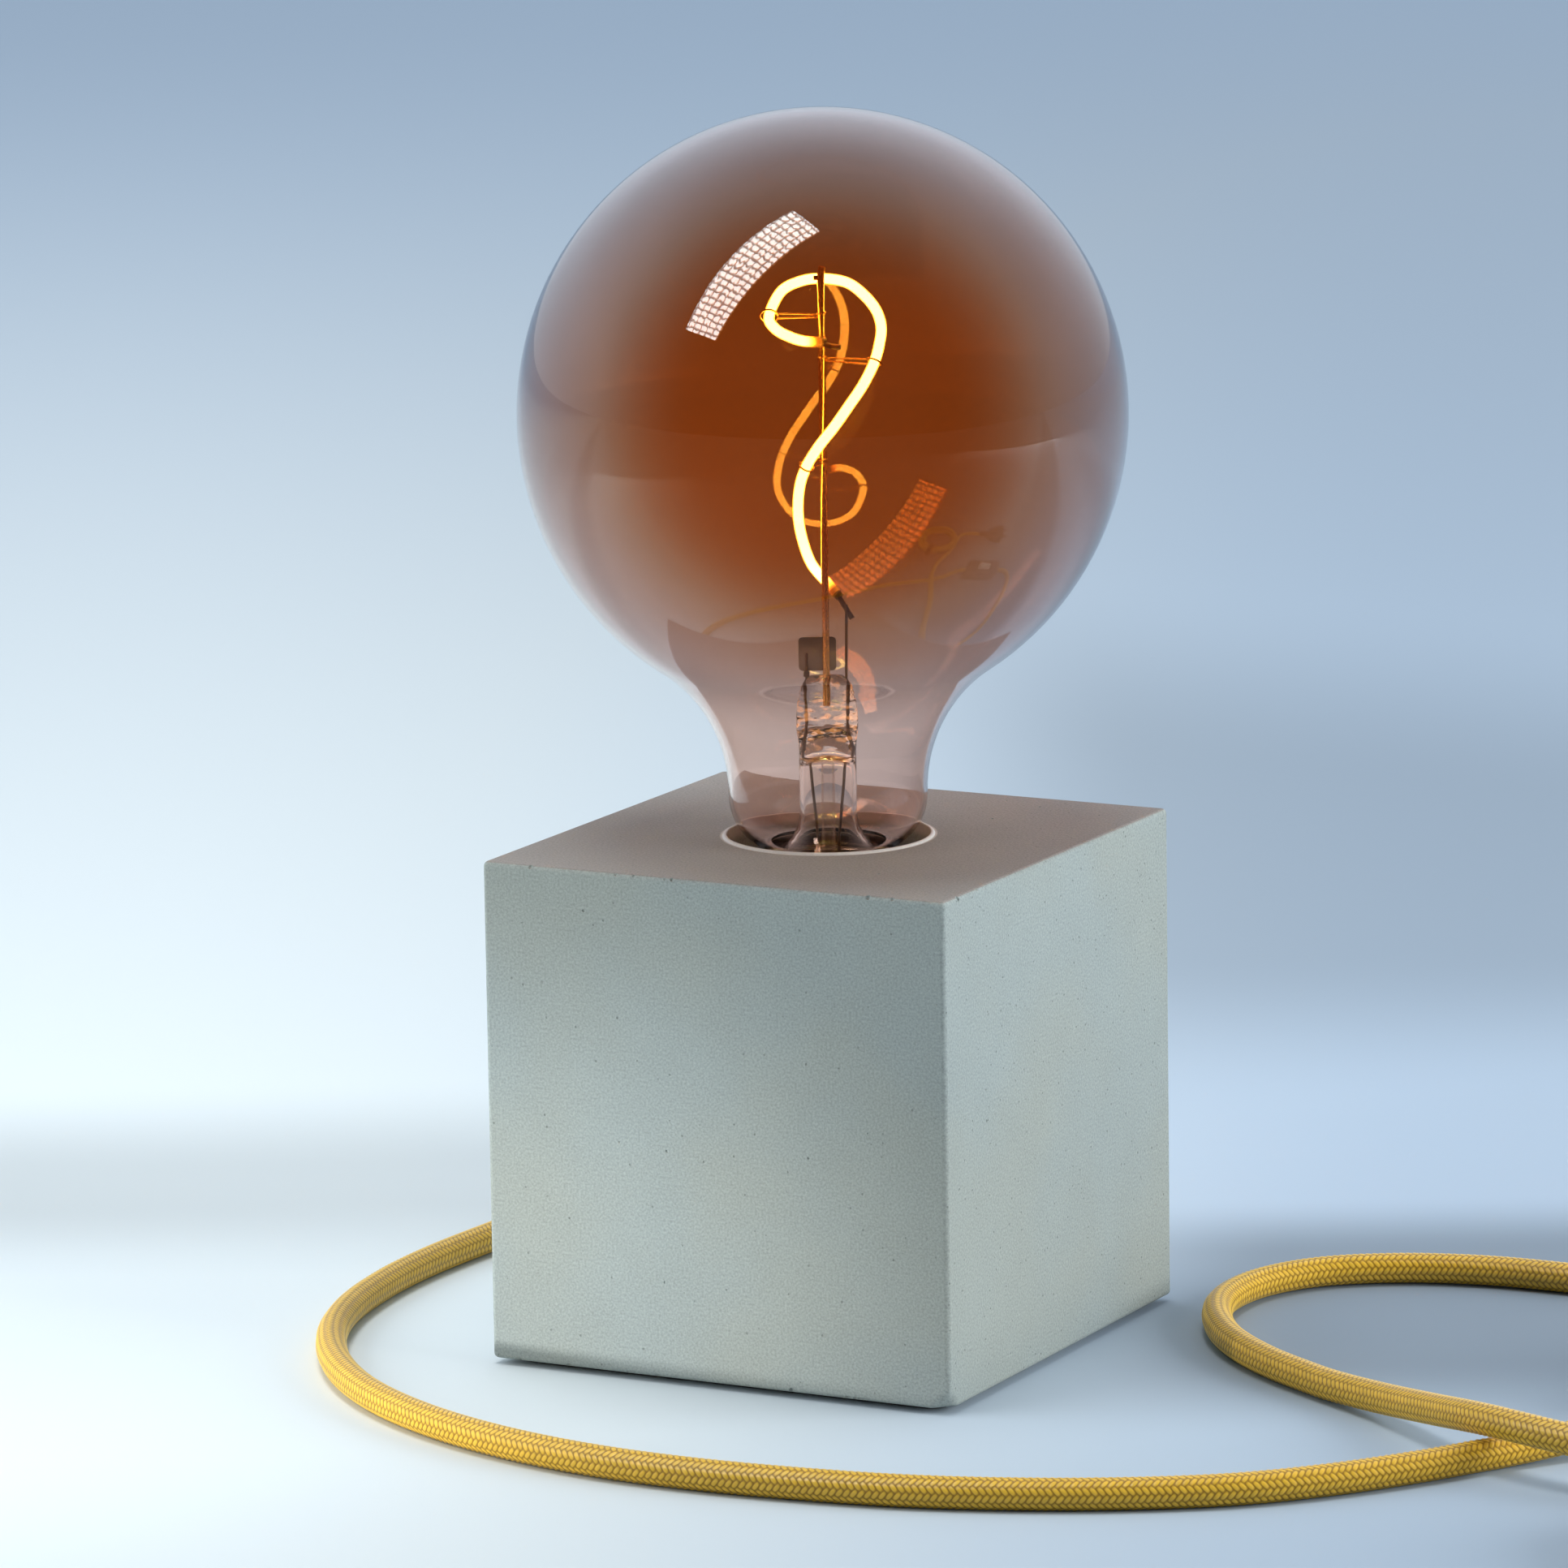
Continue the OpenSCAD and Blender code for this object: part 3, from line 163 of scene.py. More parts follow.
class Finish:
    """A material, the world or a light, with one shader that is built from values"""

    def __init__(self, name, kind="Principled BSDF", owner=None, **constants):
        self.material = owner or bpy.data.materials.new(name)
        self.material.use_nodes = True
        self.tree = self.material.node_tree
        self.shader = self.tree.nodes[kind]
        for key, value in constants.items():
            self.put(key.replace("_", " "), value)

    def connect(self, socket, value):
        if isinstance(value, Value):
            self.tree.links.new(value.socket, socket)
        elif socket.type == "RGBA" and len(value) == 3:
            socket.default_value = (*value, 1)
        else:
            socket.default_value = value

    def put(self, key, value):
        """Set a socket of the shader."""
        self.connect(self.shader.inputs[key], value)
        return self

    def node(self, kind, settings=None, values=None, out=0):
        """Add a node: its settings first, then the values or links of its sockets."""
        made = self.tree.nodes.new("ShaderNode" + kind)
        for key, value in (settings or {}).items():
            setattr(made, key, value)
        for key, value in (values or {}).items():
            self.connect(made.inputs[key], value)
        return Value(self, made.outputs[out])

    def math(self, operation, *values):
        return self.node("Math", {"operation": operation}, dict(enumerate(values)))

    def vector(self, operation, *values, out=0):
        return self.node("VectorMath", {"operation": operation}, dict(enumerate(values)), out)

    def spread(self, value, low, high, to_low=0.0, to_high=1.0):
        """Map a value from one range to another, smoothly and held at its ends."""
        ends = dict(enumerate((value, low, high, to_low, to_high)))
        return self.node("MapRange", {"interpolation_type": "SMOOTHSTEP"}, ends)

    def mix(self, factor, a, b):
        """Mix two colours; a Mix node's colours have the numbers 6 and 7, and its result 2."""
        return self.node("Mix", {"data_type": "RGBA"}, {0: factor, 6: a, 7: b}, 2)

    def tone(self, colour, factor):
        """Make a colour lighter or darker by a factor."""
        return self.node("VectorMath", {"operation": "SCALE"}, {0: colour, "Scale": factor})

    def place(self):
        return self.node("TexCoord", out="Object")

    def toward(self, direction, vector=None):
        """How far a vector points in a direction."""
        return self.vector("DOT_PRODUCT", vector or self.place(), tuple(direction), out="Value")

    def axis(self, name, vector=None):
        return self.node("SeparateXYZ", None, {0: vector or self.place()}, name)

    def facing(self):
        """0 where the surface faces the viewer, 1 at its outline."""
        return self.node("LayerWeight", None, {"Blend": 0.5}, "Facing")

    def noise(self, size, detail=2.0, rough=0.5, lengthwise=None):
        """Noise with features of a size in metres; lengthwise scales it along Z."""
        where = self.place()
        if lengthwise:
            where = self.node("Mapping", None, {"Vector": where, "Scale": (1, 1, lengthwise)})
        values = {"Vector": where, "Scale": 1 / size, "Detail": detail, "Roughness": rough}
        return self.node("TexNoise", None, values)

    def cells(self, size, out):
        return self.node("TexVoronoi", None, {"Vector": self.place(), "Scale": 1 / size}, out)

    def bump(self, height, depth, strength=1.0):
        """Feed a height, whose full range is a depth in metres, to the normal."""
        values = {"Height": height, "Distance": depth, "Strength": strength}
        return self.put("Normal", self.node("Bump", None, values))

    def let_light_through(self, tint):
        """Rays from lamps pass the glass and take its tint."""
        shadow = self.node("LightPath", out="Is Shadow Ray")
        through = self.node("BsdfTransparent", None, {"Color": tint})
        glass = Value(self, self.shader.outputs[0])
        mixed = self.node("MixShader", None, {0: shadow, 1: glass, 2: through})
        self.tree.links.new(mixed.socket, self.tree.nodes["Material Output"].inputs["Surface"])
        return self


def tinged(colour, *factors):
    """A colour with its red, green and blue scaled."""
    return tuple(c * k for c, k in zip(colour, factors))


def grainy(name, colour, roughness, size, shade, depth):
    """A plain finish with a fine grain, a slight change of shade and uneven gloss."""
    f = Finish(name)
    cloud = f.noise(12 * size * MM, 3)
    fine = f.noise(size * MM, 3)
    f.put("Base Color", f.tone(colour, 1 - shade + cloud * shade * 2))
    f.put("Roughness", roughness * 0.85 + fine * roughness * 0.3)
    return f.bump(fine, depth * MM)


PORES = 2.4 * MM


def concrete():
    """Cast concrete: sandy grain, clouds, fine pores and scattered pits, with painted shade on faces
    that look up and a painted highlight round the top of the bore.
    """
    s = chosen("concrete")
    colour = tuple(s.colour)
    f = Finish("concrete", IOR=1.5)
    cloud = f.noise(38 * MM, 3, 0.55)
    stain = f.noise(9 * MM, 4, 0.6)
    grain = f.noise(s.grain, 3, 0.65)
    sand = f.noise(s.grain * 2.6, 2)
    pore = f.cells(PORES, "Distance")
    chosen_few = f.node("SeparateColor", None, {0: f.cells(PORES, "Color")}) > 0.72
    hole = f.spread(pore, 0.05, 0.13, 1, 0) * chosen_few
    shade = 0.40 + cloud * 0.10 + stain * 0.08 + grain * 1.02 - hole * 0.30
    cool = f.tone(colour, shade)
    warm = f.tone(tinged(colour, 1.03, 0.99, 0.94), shade)
    sides = f.mix(f.spread(f.noise(55 * MM, 2), 0.35, 0.65), cool, warm)
    # Painted shade: the browner, darker colour given to faces that look up stands for the globe's
    # tinted shadow on the top.
    worn = f.tone(tinged(colour, 0.92, 0.75, 0.72), shade)
    up = f.axis("Z", f.node("TexCoord", out="Normal"))
    from_axis = f.vector("LENGTH", f.vector("MULTIPLY", f.place(), (1, 1, 0)), out="Value")
    # Painted highlight: a pale ring painted round the top of the bore, just below the top face.
    high = f.spread(f.axis("Z"), (TOP - 3) * MM, (TOP - 1) * MM)
    painted_rim_highlight = f.spread(from_axis, (BORE + 1.1) * MM, (BORE + 1.6) * MM, 1, 0) * high
    face = f.mix(f.spread(up, 0.70, 0.92), sides, worn)
    f.put("Base Color", f.mix(painted_rim_highlight * 0.5, face, (0.88, 0.80, 0.76)))
    f.put("Roughness", 0.80 + grain * 0.15)
    return f.bump(grain * 0.55 + sand * 0.45 - hole * 0.9, 0.16 * MM, 0.8)


def yarn():
    """Rayon braid: two over, two under, with fine fibres along each stitch, and painted shade in its
    grooves.
    """
    s = chosen("flex")
    colour = tuple(s.colour)
    f = Finish("flex_braid", IOR=1.5, Sheen_Weight=0.25, Sheen_Roughness=0.35)
    f.put("Sheen Tint", (1.0, 0.86, 0.52, 1))
    uv = f.node("UVMap", {"uv_map": "UVMap"})
    around = f.axis("X", uv) * s.rows
    down = f.axis("Y", uv) * (math.pi * s.diameter / s.pitch)
    a, b = around + down, around - down
    i, j = f.math("FLOOR", a), f.math("FLOOR", b)
    step = (i + j) % 4
    first = step < 1.5
    wide = (a - i) * first + (b - j) * (1 - first)
    long = ((step + (b - j)) * first + (step - 2 + (a - i)) * (1 - first)) / 2
    ridge = f.math("SINE", wide * math.pi)
    rise = f.math("SINE", long * math.pi)
    height = (ridge ** 0.6) * (0.3 + rise * 0.7)
    fibre = f.math("SINE", wide * (math.pi * 9) + long * 1.5)
    number = i * first + (j + 40) * (1 - first)
    strand = f.node("TexWhiteNoise", {"noise_dimensions": "1D"}, {"W": number})
    # Painted shade: the grooves between the stitches are painted darker and browner.
    groove = f.spread(height, 0.15, 0.75)
    shade = (0.50 + groove * 0.50) * (0.93 + strand * 0.12) * (0.97 + fibre * 0.04)
    f.put("Base Color", f.tone(f.mix(groove, tinged(colour, 0.80, 0.66, 0.5), colour), shade))
    f.put("Roughness", 0.46 - groove * 0.12 + fibre * 0.03)
    return f.bump(height + fibre * 0.06, 0.16 * MM, 0.7)


# Heights, in metres, between which the amber coat fades, and over which the stem is pinched
COAT_EDGE = (0.129, 0.146)
PINCH_EDGE = (0.122, 0.128)


def smoky_glass():
    """Tinted glass, paler towards the neck, with faint streaks in its thickness."""
    s = chosen("glass")
    f = Finish("smoky_glass", Roughness=0.0, IOR=1.47, Transmission_Weight=1.0)
    streak = f.noise(70 * MM, 2, 0.5, 0.35)
    coat = f.mix(f.spread(f.facing(), 0.07, 0.35), tuple(s.tint), tuple(s.rim_tint))
    tint = f.mix(f.spread(f.axis("Z"), *COAT_EDGE), tuple(s.neck_tint), coat)
    f.put("Base Color", f.tone(tint, 0.96 + streak * 0.08))
    return f.let_light_through((0.58, 0.41, 0.35))


def clear_glass():
    """Clear drawn glass with fine lines along it, and a painted glint of the filament in its pinch,
    given off as faint light.
    """
    f = Finish("clear_glass", Roughness=0.0, IOR=1.5, Transmission_Weight=1.0)
    lines = f.noise(3 * MM, 2, 0.5, 0.08)
    folds = f.noise(2.6 * MM, 1, 0.5, 1.8)
    pinch = f.spread(f.axis("Z"), *PINCH_EDGE)
    f.put("Base Color", f.mix(lines, (0.98, 0.97, 0.95), (0.95, 0.92, 0.89)))
    # Painted glint: faint orange light given off by the folds of the pinch.
    glint = f.spread(folds, 0.54, 0.66) * pinch
    f.put("Emission Color", f.tone((1.0, 0.50, 0.16), glint * 0.5))
    f.put("Emission Strength", 1.0)
    f.bump(lines * (1 - pinch) * 0.06 + folds * pinch, 0.6 * MM, 0.8)
    return f.let_light_through((0.9, 0.88, 0.86))


def thin_glass():
    """A thin clear tube, nearly unseen but for its edges."""
    f = Finish("thin_glass", Roughness=0.05, IOR=1.5)
    lines = f.noise(3 * MM, 2, 0.5, 0.08)
    f.put("Base Color", f.mix(lines, (0.80, 0.72, 0.66), (0.70, 0.62, 0.56)))
    return f.put("Alpha", f.spread(f.facing(), 0.2, 0.9, 0.05, 0.45))


def metal(name, colour, roughness, scratch):
    """Bare metal with drawn lines and slightly uneven gloss."""
    f = Finish(name, Metallic=1.0)
    cloud = f.noise(6 * MM, 3)
    lines = f.noise(scratch * MM, 2, 0.6, 0.15)
    f.put("Base Color", f.tone(colour, 0.88 + cloud * 0.2))
    f.put("Roughness", roughness * 0.7 + lines * roughness * 0.6)
    return f.bump(lines, 0.01 * MM, 0.5)


def glowing(name, colour, strength, alpha=1.0):
    """Lit phosphor under silicone, which fades through orange towards both ends."""
    f = Finish(name, Roughness=0.35)
    beads = f.noise(1.1 * MM, 1)
    turn = Matrix.Rotation(math.radians(TURN), 3, "Z")
    marks = filament_marks()
    near = f.math("MINIMUM", *[
        f.vector("DISTANCE", f.place(), tuple(turn @ end * MM), out="Value")
        for end in (marks[0], marks[-1])])
    fade = f.spread(near, 1.5 * MM, 4.0 * MM, 0.004, 1.0)
    tone = f.mix(f.spread(near, 2.0 * MM, 5.0 * MM), (1.0, 0.42, 0.05), colour)
    f.put("Base Color", f.tone((0.9, 0.62, 0.22), 0.9 + beads * 0.2))
    f.put("Emission Color", f.tone(tone, fade * (0.9 + beads * 0.2)))
    f.put("Emission Strength", strength)
    if alpha < 1:
        f.put("Alpha", alpha)
    return f


# Colour and roughness, then in millimetres grain size, change of shade (a plain number) and depth
GRAINY = {
    "pad_felt": ((0.030, 0.030, 0.033), 0.85, 0.6, 0.3, 0.15),
    "black_plastic": ((0.022, 0.022, 0.024), 0.42, 0.5, 0.1, 0.012),
    "matt_plastic": ((0.020, 0.020, 0.022), 0.62, 0.35, 0.1, 0.03),
    "ivory_plastic": ((0.70, 0.68, 0.60), 0.36, 0.8, 0.04, 0.008),
    "porcelain": ((0.78, 0.76, 0.70), 0.22, 1.2, 0.04, 0.01),
    "vitrite": ((0.012, 0.010, 0.014), 0.12, 2, 0.15, 0.01),
    "board": ((0.62, 0.64, 0.56), 0.45, 0.6, 0.06, 0.02),
    "board_parts": ((0.030, 0.030, 0.040), 0.35, 0.6, 0.2, 0.02),
    "brown_core": ((0.13, 0.055, 0.022), 0.4, 0.8, 0.08, 0.02),
    "blue_core": ((0.022, 0.085, 0.42), 0.4, 0.8, 0.08, 0.02),
    "tie": ((0.018, 0.018, 0.019), 0.8, 0.4, 0.3, 0.12),
}
# Colour, roughness and the scratches' size in millimetres
METALS = {
    "brass": ((0.72, 0.50, 0.20), 0.28, 0.6),
    "steel": ((0.56, 0.56, 0.55), 0.30, 0.6),
    "nickel": ((0.66, 0.64, 0.60), 0.24, 0.4),
    "pin_metal": ((0.72, 0.72, 0.70), 0.18, 0.3),
    "gold_wire": ((0.80, 0.50, 0.20), 0.26, 0.2),
    "dark_wire": ((0.26, 0.19, 0.14), 0.40, 0.2),
    "tin_plate": ((0.42, 0.36, 0.30), 0.34, 0.5),
}


def finishes():
    """All the materials of the lamp, by name."""
    glow = chosen("glass").glow
    made = {
        "concrete": concrete(),
        "flex_braid": yarn(),
        "smoky_glass": smoky_glass(),
        "clear_glass": clear_glass(),
        "thin_glass": thin_glass(),
        "core_glow": glowing("core_glow", (0.70, 1.0, 0.40), glow * 1.2),
        "sleeve_glow": glowing("sleeve_glow", (1.0, 0.55, 0.04), glow * 0.18, 0.35),
        **{name: grainy(name, *values) for name, values in GRAINY.items()},
        **{name: metal(name, *values) for name, values in METALS.items()},
    }
    made["porcelain"].put("Coat Weight", 0.6)
    return {name: finish.material for name, finish in made.items()}


FINISH = {}


# Modelling tools

def clear():
    """Leave edit mode and select nothing."""
    if bpy.context.object and bpy.context.object.mode != "OBJECT":
        bpy.ops.object.mode_set(mode="OBJECT")
    bpy.ops.object.select_all(action="DESELECT")


def focus(*pieces):
    clear()
    for piece in pieces:
        piece.select_set(True)
    bpy.context.view_layer.objects.active = pieces[0]


def named(name):
    piece = bpy.context.object
    piece.name = piece.data.name = name
    return piece


def added(name, add, **settings):
    """Add an object by an operator, with nothing else selected, and name it."""
    clear()
    add(**settings)
    return named(name)


def settle(piece):
    """Put a piece's place, turn and scale into its mesh."""
    focus(piece)
    bpy.ops.object.transform_apply(location=True, rotation=True, scale=True)
    return piece


def turned(piece, place=(0, 0, 0), turn=(0, 0, 0)):
    """Turn a piece, in degrees, and move it, all in millimetres."""
    piece.rotation_euler = [math.radians(t) for t in turn]
    piece.location = Vector(place) * MM
    return settle(piece)


def edit(piece):
    """Enter edit mode with all of a piece selected."""
    focus(piece)
    bpy.ops.object.mode_set(mode="EDIT")
    bpy.ops.mesh.select_mode(type="VERT")
    bpy.ops.mesh.select_all(action="SELECT")


def pick(piece, kind, test):
    """In edit mode, select the vertices, edges or faces whose corners, in millimetres, pass."""
    bpy.ops.mesh.select_mode(type=kind)
    bpy.ops.mesh.select_all(action="DESELECT")
    mesh = bmesh.from_edit_mesh(piece.data)
    parts = {"VERT": mesh.verts, "EDGE": mesh.edges, "FACE": mesh.faces}[kind]
    for part in parts:
        corners = [part] if kind == "VERT" else part.verts
        if test(*[v.co / MM for v in corners]):
            part.select_set(True)
    mesh.select_flush_mode()
    bmesh.update_edit_mesh(piece.data)


def along(axis, least):
    """A test for edges that reach further along an axis than a number of millimetres."""
    return lambda p, q: abs(getattr(p, axis) - getattr(q, axis)) > least


def level(axis):
    """A test for edges that stay at one place along an axis."""
    return lambda p, q: abs(getattr(p, axis) - getattr(q, axis)) < 0.01


def bevel(piece, width, segments, test=lambda p, q: True, affect="EDGES"):
    """Bevel the edges, or vertices, that pass a test; all the edges without one."""
    edit(piece)
    pick(piece, "EDGE" if affect == "EDGES" else "VERT", test)
    bpy.ops.mesh.bevel(
        offset=width * MM, offset_type="OFFSET", segments=segments, affect=affect,
        clamp_overlap=True)
    clear()
    return piece


def modify(piece, kind, **settings):
    """Add a modifier and apply it."""
    focus(piece)
    bpy.ops.object.modifier_add(type=kind)
    modifier = piece.modifiers[-1]
    for key, value in settings.items():
        setattr(modifier, key, value)
    bpy.ops.object.modifier_apply(modifier=modifier.name)
    return piece


def cut(piece, *cutters, operation="DIFFERENCE"):
    """Cut pieces out of a piece, or do another boolean, and throw the cutters away."""
    for cutter in cutters:
        modify(piece, "BOOLEAN", object=cutter, operation=operation, solver="EXACT",
               use_self=len(cutter.data.polygons) > 500)
        bpy.data.objects.remove(cutter)
    return piece


def joined(name, *pieces):
    focus(*pieces)
    if len(pieces) > 1:
        bpy.ops.object.join()
    return named(name)


def smooth(piece, angle=35.0):
    focus(piece)
    bpy.ops.object.shade_smooth_by_angle(angle=math.radians(angle))
    return piece


def block(name, low, high):
    """A box between two corners, in millimetres."""
    low, high = Vector(low), Vector(high)
    return settle(added(
        name, bpy.ops.mesh.primitive_cube_add, size=MM, location=(low + high) * MM / 2,
        scale=high - low))


def soft_block(name, low, high, radius, segments):
    """A box with all its edges rounded."""
    return bevel(block(name, low, high), radius, segments)


def drum(name, radius, low, high, sides):
    """A round bar between two heights, in millimetres."""
    return settle(added(
        name, bpy.ops.mesh.primitive_cone_add, vertices=sides, radius1=radius * MM,
        radius2=radius * MM, depth=(high - low) * MM, location=(0, 0, (low + high) * MM / 2)))


def draw(name, points, closed=False):
    """Draw a line through points, in millimetres, from one to the next, and stay in edit mode."""
    piece = added(name, bpy.ops.mesh.primitive_plane_add, size=MM, location=(0, 0, 0))
    edit(piece)
    bpy.ops.mesh.merge(type="CENTER")
    points = [Vector(p) for p in points]
    bpy.ops.transform.translate(value=points[0] * MM)
    for p, q in zip(points, points[1:]):
        bpy.ops.mesh.extrude_vertices_move(TRANSFORM_OT_translate={"value": (q - p) * MM})
    if closed:
        pick(piece, "VERT", lambda p: min((p - points[0]).length, (p - points[-1]).length) < 1e-4)
        bpy.ops.mesh.edge_face_add()
    bpy.ops.mesh.select_all(action="SELECT")
    return piece


def lathe(name, profile, steps=96, closed=False):
    """Draw a profile of (radius, height) in millimetres point by point and spin it round Z."""
    piece = draw(name, [(r, 0, z) for r, z in profile], closed)
    bpy.ops.mesh.spin(steps=steps, angle=2 * math.pi, center=(0, 0, 0), axis=(0, 0, 1))
    tidy_mesh()
    return piece


def tidy_mesh():
    """Close seams and poles, face everything outwards, and leave edit mode."""
    bpy.ops.mesh.select_all(action="SELECT")
    bpy.ops.mesh.remove_doubles(threshold=0.002 * MM)
    bpy.ops.mesh.normals_make_consistent(inside=False)
    clear()


def arc(cx, cy, r, start, end, count):
    """Points on an arc of a profile, with angles in degrees."""
    turns = [math.radians(start + (end - start) * k / count) for k in range(count + 1)]
    return [(cx + r * math.cos(t), cy + r * math.sin(t)) for t in turns]


def at(points, u):
    """A smooth line through points, at u from 0 to the last point's number."""
    last = len(points) - 1
    i = min(int(u), last - 1)

    def point(k):
        if k < 0:
            return 2 * points[0] - points[1]
        if k > last:
            return 2 * points[last] - points[last - 1]
        return points[k]

    a, b, c, d = (point(i + k) for k in (-1, 0, 1, 2))
    t = u - i
    return 0.5 * (
        2 * b + (c - a) * t + (2 * a - 5 * b + 4 * c - d) * t * t
        + (3 * b - a - 3 * c + d) * t * t * t)


def line(points, count):
    """A smooth line through points, in a number of steps."""
    points = [Vector(p) for p in points]
    return [at(points, k * (len(points) - 1) / count) for k in range(count + 1)]


def wire(name, points, radius, sides=12, closed=False):
    """A round wire along points in millimetres."""
    shape = added(name, bpy.ops.curve.primitive_nurbs_path_add, radius=MM).data
    shape.splines.clear()
    spline = shape.splines.new("POLY")
    spline.points.add(len(points) - 1)
    for point, place in zip(spline.points, points):
        point.co = (*(Vector(place) * MM), 1)
    spline.use_cyclic_u = closed
    shape.dimensions = "3D"
    shape.bevel_depth = radius * MM
    shape.bevel_resolution = max(1, sides // 2 - 2)
    shape.use_fill_caps = not closed
    bpy.ops.object.convert(target="MESH")
    piece = settle(named(name))
    edit(piece)
    tidy_mesh()
    return smooth(piece, 50)


def dress(piece, body, finish, slot, *nodes):
    """Finish a piece: its material, its body and the nodes that it stands for; its slot is not used."""
    piece.data.materials.clear()
    piece.data.materials.append(FINISH[finish])
    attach(piece, body)
    if nodes:
        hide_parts(*nodes)
    return piece


def paint(finish, *nodes):
    """Give CAD nodes a material."""
    for node in nodes:
        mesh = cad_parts[node].data
        mesh.materials.clear()
        mesh.materials.append(FINISH[finish])


# Stage: camera, floor and light

CAMERA_PLACE = Vector((0.87362, -1.69492, 0.48959))
CAMERA_AZIMUTH = 27.54
CAMERA_ELEVATION = 11.08
CAMERA_ROLL = -0.89
SENSOR = 36
GLOBE_MIDDLE = Vector((0, 0, 0.193))


def camera_axes():
    """Right, up and back of the camera."""
    a, e, r = (math.radians(v) for v in (CAMERA_AZIMUTH, CAMERA_ELEVATION, CAMERA_ROLL))
    back = Vector((math.sin(a) * math.cos(e), -math.cos(a) * math.cos(e), math.sin(e)))
    right = Vector((math.cos(a), math.sin(a), 0))
    up = back.cross(right)
    return (math.cos(r) * right + math.sin(r) * up, -math.sin(r) * right + math.cos(r) * up, back)


def seen(right, up, back):
    """A direction given from the camera's place, in the world."""
    r, u, b = camera_axes()
    return (r * right + u * up + b * back).normalized()


def lamp(name, place, aim, size, power, colour, long_side=(0, 0, 1)):
    """An area light that faces a point, with its long side along a direction."""
    light = added(name, bpy.ops.object.light_add, type="AREA", location=place)
    light.data.shape = "RECTANGLE"
    light.data.size, light.data.size_y = size
    light.data.energy = power
    light.data.color = colour
    back = (Vector(place) - Vector(aim)).normalized()
    side = Vector(long_side)
    side = (side - back * side.dot(back)).normalized()
    light.rotation_euler = Matrix((side, back.cross(side), back)).transposed().to_euler()
    return light


class CUBELAMP_OT_stage(bpy.types.Operator):
    """Add the camera, the pale floor and soft studio light"""

    bl_idname = "cube_lamp.stage"
    bl_label = "Stage"

    def floor(self, colour):
        """Pale floor with painted light and shade: whitest at the left, darker and bluer far away; the
        glass's reflection of it in front is painted dimmer.
        """
        f = Finish("floor", Roughness=0.8)
        right, _, back = camera_axes()
        away = f.toward((-back.x, -back.y, 0))
        across = f.toward((right.x, right.y, 0))
        aside = across * 12 / f.math("MAXIMUM", away + 2, 0.6)
        # Painted light and shade: lighter at the left, darker at the right and close in front
        shade = f.spread(aside, -1.1, 1.0, 1.0, 0.62) * f.spread(away, -0.22, 0.02, 0.82, 1.0)
        # Painted soft shadows: at the left, at the back on the right, and beside the cube
        left = f.spread(away, 0.05, 0.12) * f.spread(away, 0.24, 0.15)
        left = left * f.spread(across, 0.03, -0.06)
        behind = f.spread(away, 0.20, 0.36) * f.spread(away + across * 0.6, 0.95, 0.66)
        behind = behind * f.spread(across, 0.01, 0.09)
        beside = f.spread(away, -0.09, -0.03) * f.spread(away, 0.11, 0.06)
        beside = beside * f.spread(across, 0.04, 0.10)
        shade = shade * (1 - left * 0.27) * (1 - behind * 0.27) * (1 - beside * 0.46)
        # Painted shade: darker far away
        far = f.spread(away, 0.4, 2.6)
        shade = shade * (1 - far) + far * 0.56
        blue = f.math("MAXIMUM", far, f.spread(aside, -0.6, 0.8, 0, 0.8))
        tint = f.mix(blue, colour, tinged(colour, 0.78, 0.92, 1.14))
        # Painted reflection: the glass's reflection of the floor in front is darker
        mirrored = f.node("LightPath", out="Is Glossy Ray")
        mirrored = mirrored * (1 - f.node("LightPath", out="Is Transmission Ray"))
        ray = f.vector("NORMALIZE", f.vector("SUBTRACT", f.place(), tuple(GLOBE_MIDDLE)))
        dim = f.spread(f.toward(back, ray), 0.60, -0.25, 0.93, 0)
        f.put("Base Color", f.tone(tint, shade * (1 - mirrored * dim)))
        return f.material

    def grid(self, light):
        """Fabric grid in front of a softbox: pale cells between dark, uneven bars."""
        f = Finish("grid", "Emission", light)
        uv = f.node("NewGeometry", out="Parametric")
        wave = f.node("TexNoise", None, {"Vector": uv, "Scale": 14.0, "Detail": 2.0})
        long = (f.axis("X", uv) + wave * 0.05) * 22
        wide = (f.axis("Y", uv) + wave * 0.10) * 5
        bars = f.spread(long % 1, 0.20, 0.45) * f.spread(wide % 1, 0.08, 0.28)
        f.put("Strength", 0.2 + bars * 1.2)

    def surroundings(self, strength):
        """Bright behind the lamp, dark behind the camera, duller overhead and at the right."""
        f = Finish("surroundings", "Background", bpy.data.worlds.new("surroundings"))
        way = f.node("TexCoord", out="Generated")
        right, _, back = camera_axes()
        height = f.axis("Z", way)
        overhead = f.spread(height, 0.60, 0.97, 1.0, 0.62) * f.spread(height, -0.05, 0.35, 0.65, 1.0)
        beside = f.spread(f.toward(right, way), 0.3, 0.9, 1.0, 0.55)
        behind = f.spread(f.toward(back, way), 0.60, -0.25, 0.02, 1.0)
        f.put("Color", (0.74, 0.86, 1.0))
        f.put("Strength", behind * overhead * beside * strength)
        return f.material

    def camera(self, lens):
        """A camera at the photograph's place."""
        camera = added("camera", bpy.ops.object.camera_add, location=CAMERA_PLACE)
        camera.data.lens = lens
        camera.data.sensor_width = SENSOR
        camera.data.clip_start = 0.05
        camera.rotation_euler = Matrix(camera_axes()).transposed().to_euler()
        return camera

    def sun(self, strength):
        """Wide, soft light from above."""
        sun = added("above", bpy.ops.object.light_add, type="SUN", location=(0, 0, 2),
                    rotation=(0.05, -0.08, 0))
        sun.data.energy = strength
        sun.data.angle = math.radians(24)
        sun.data.color = (1, 0.99, 0.97)
        return sun

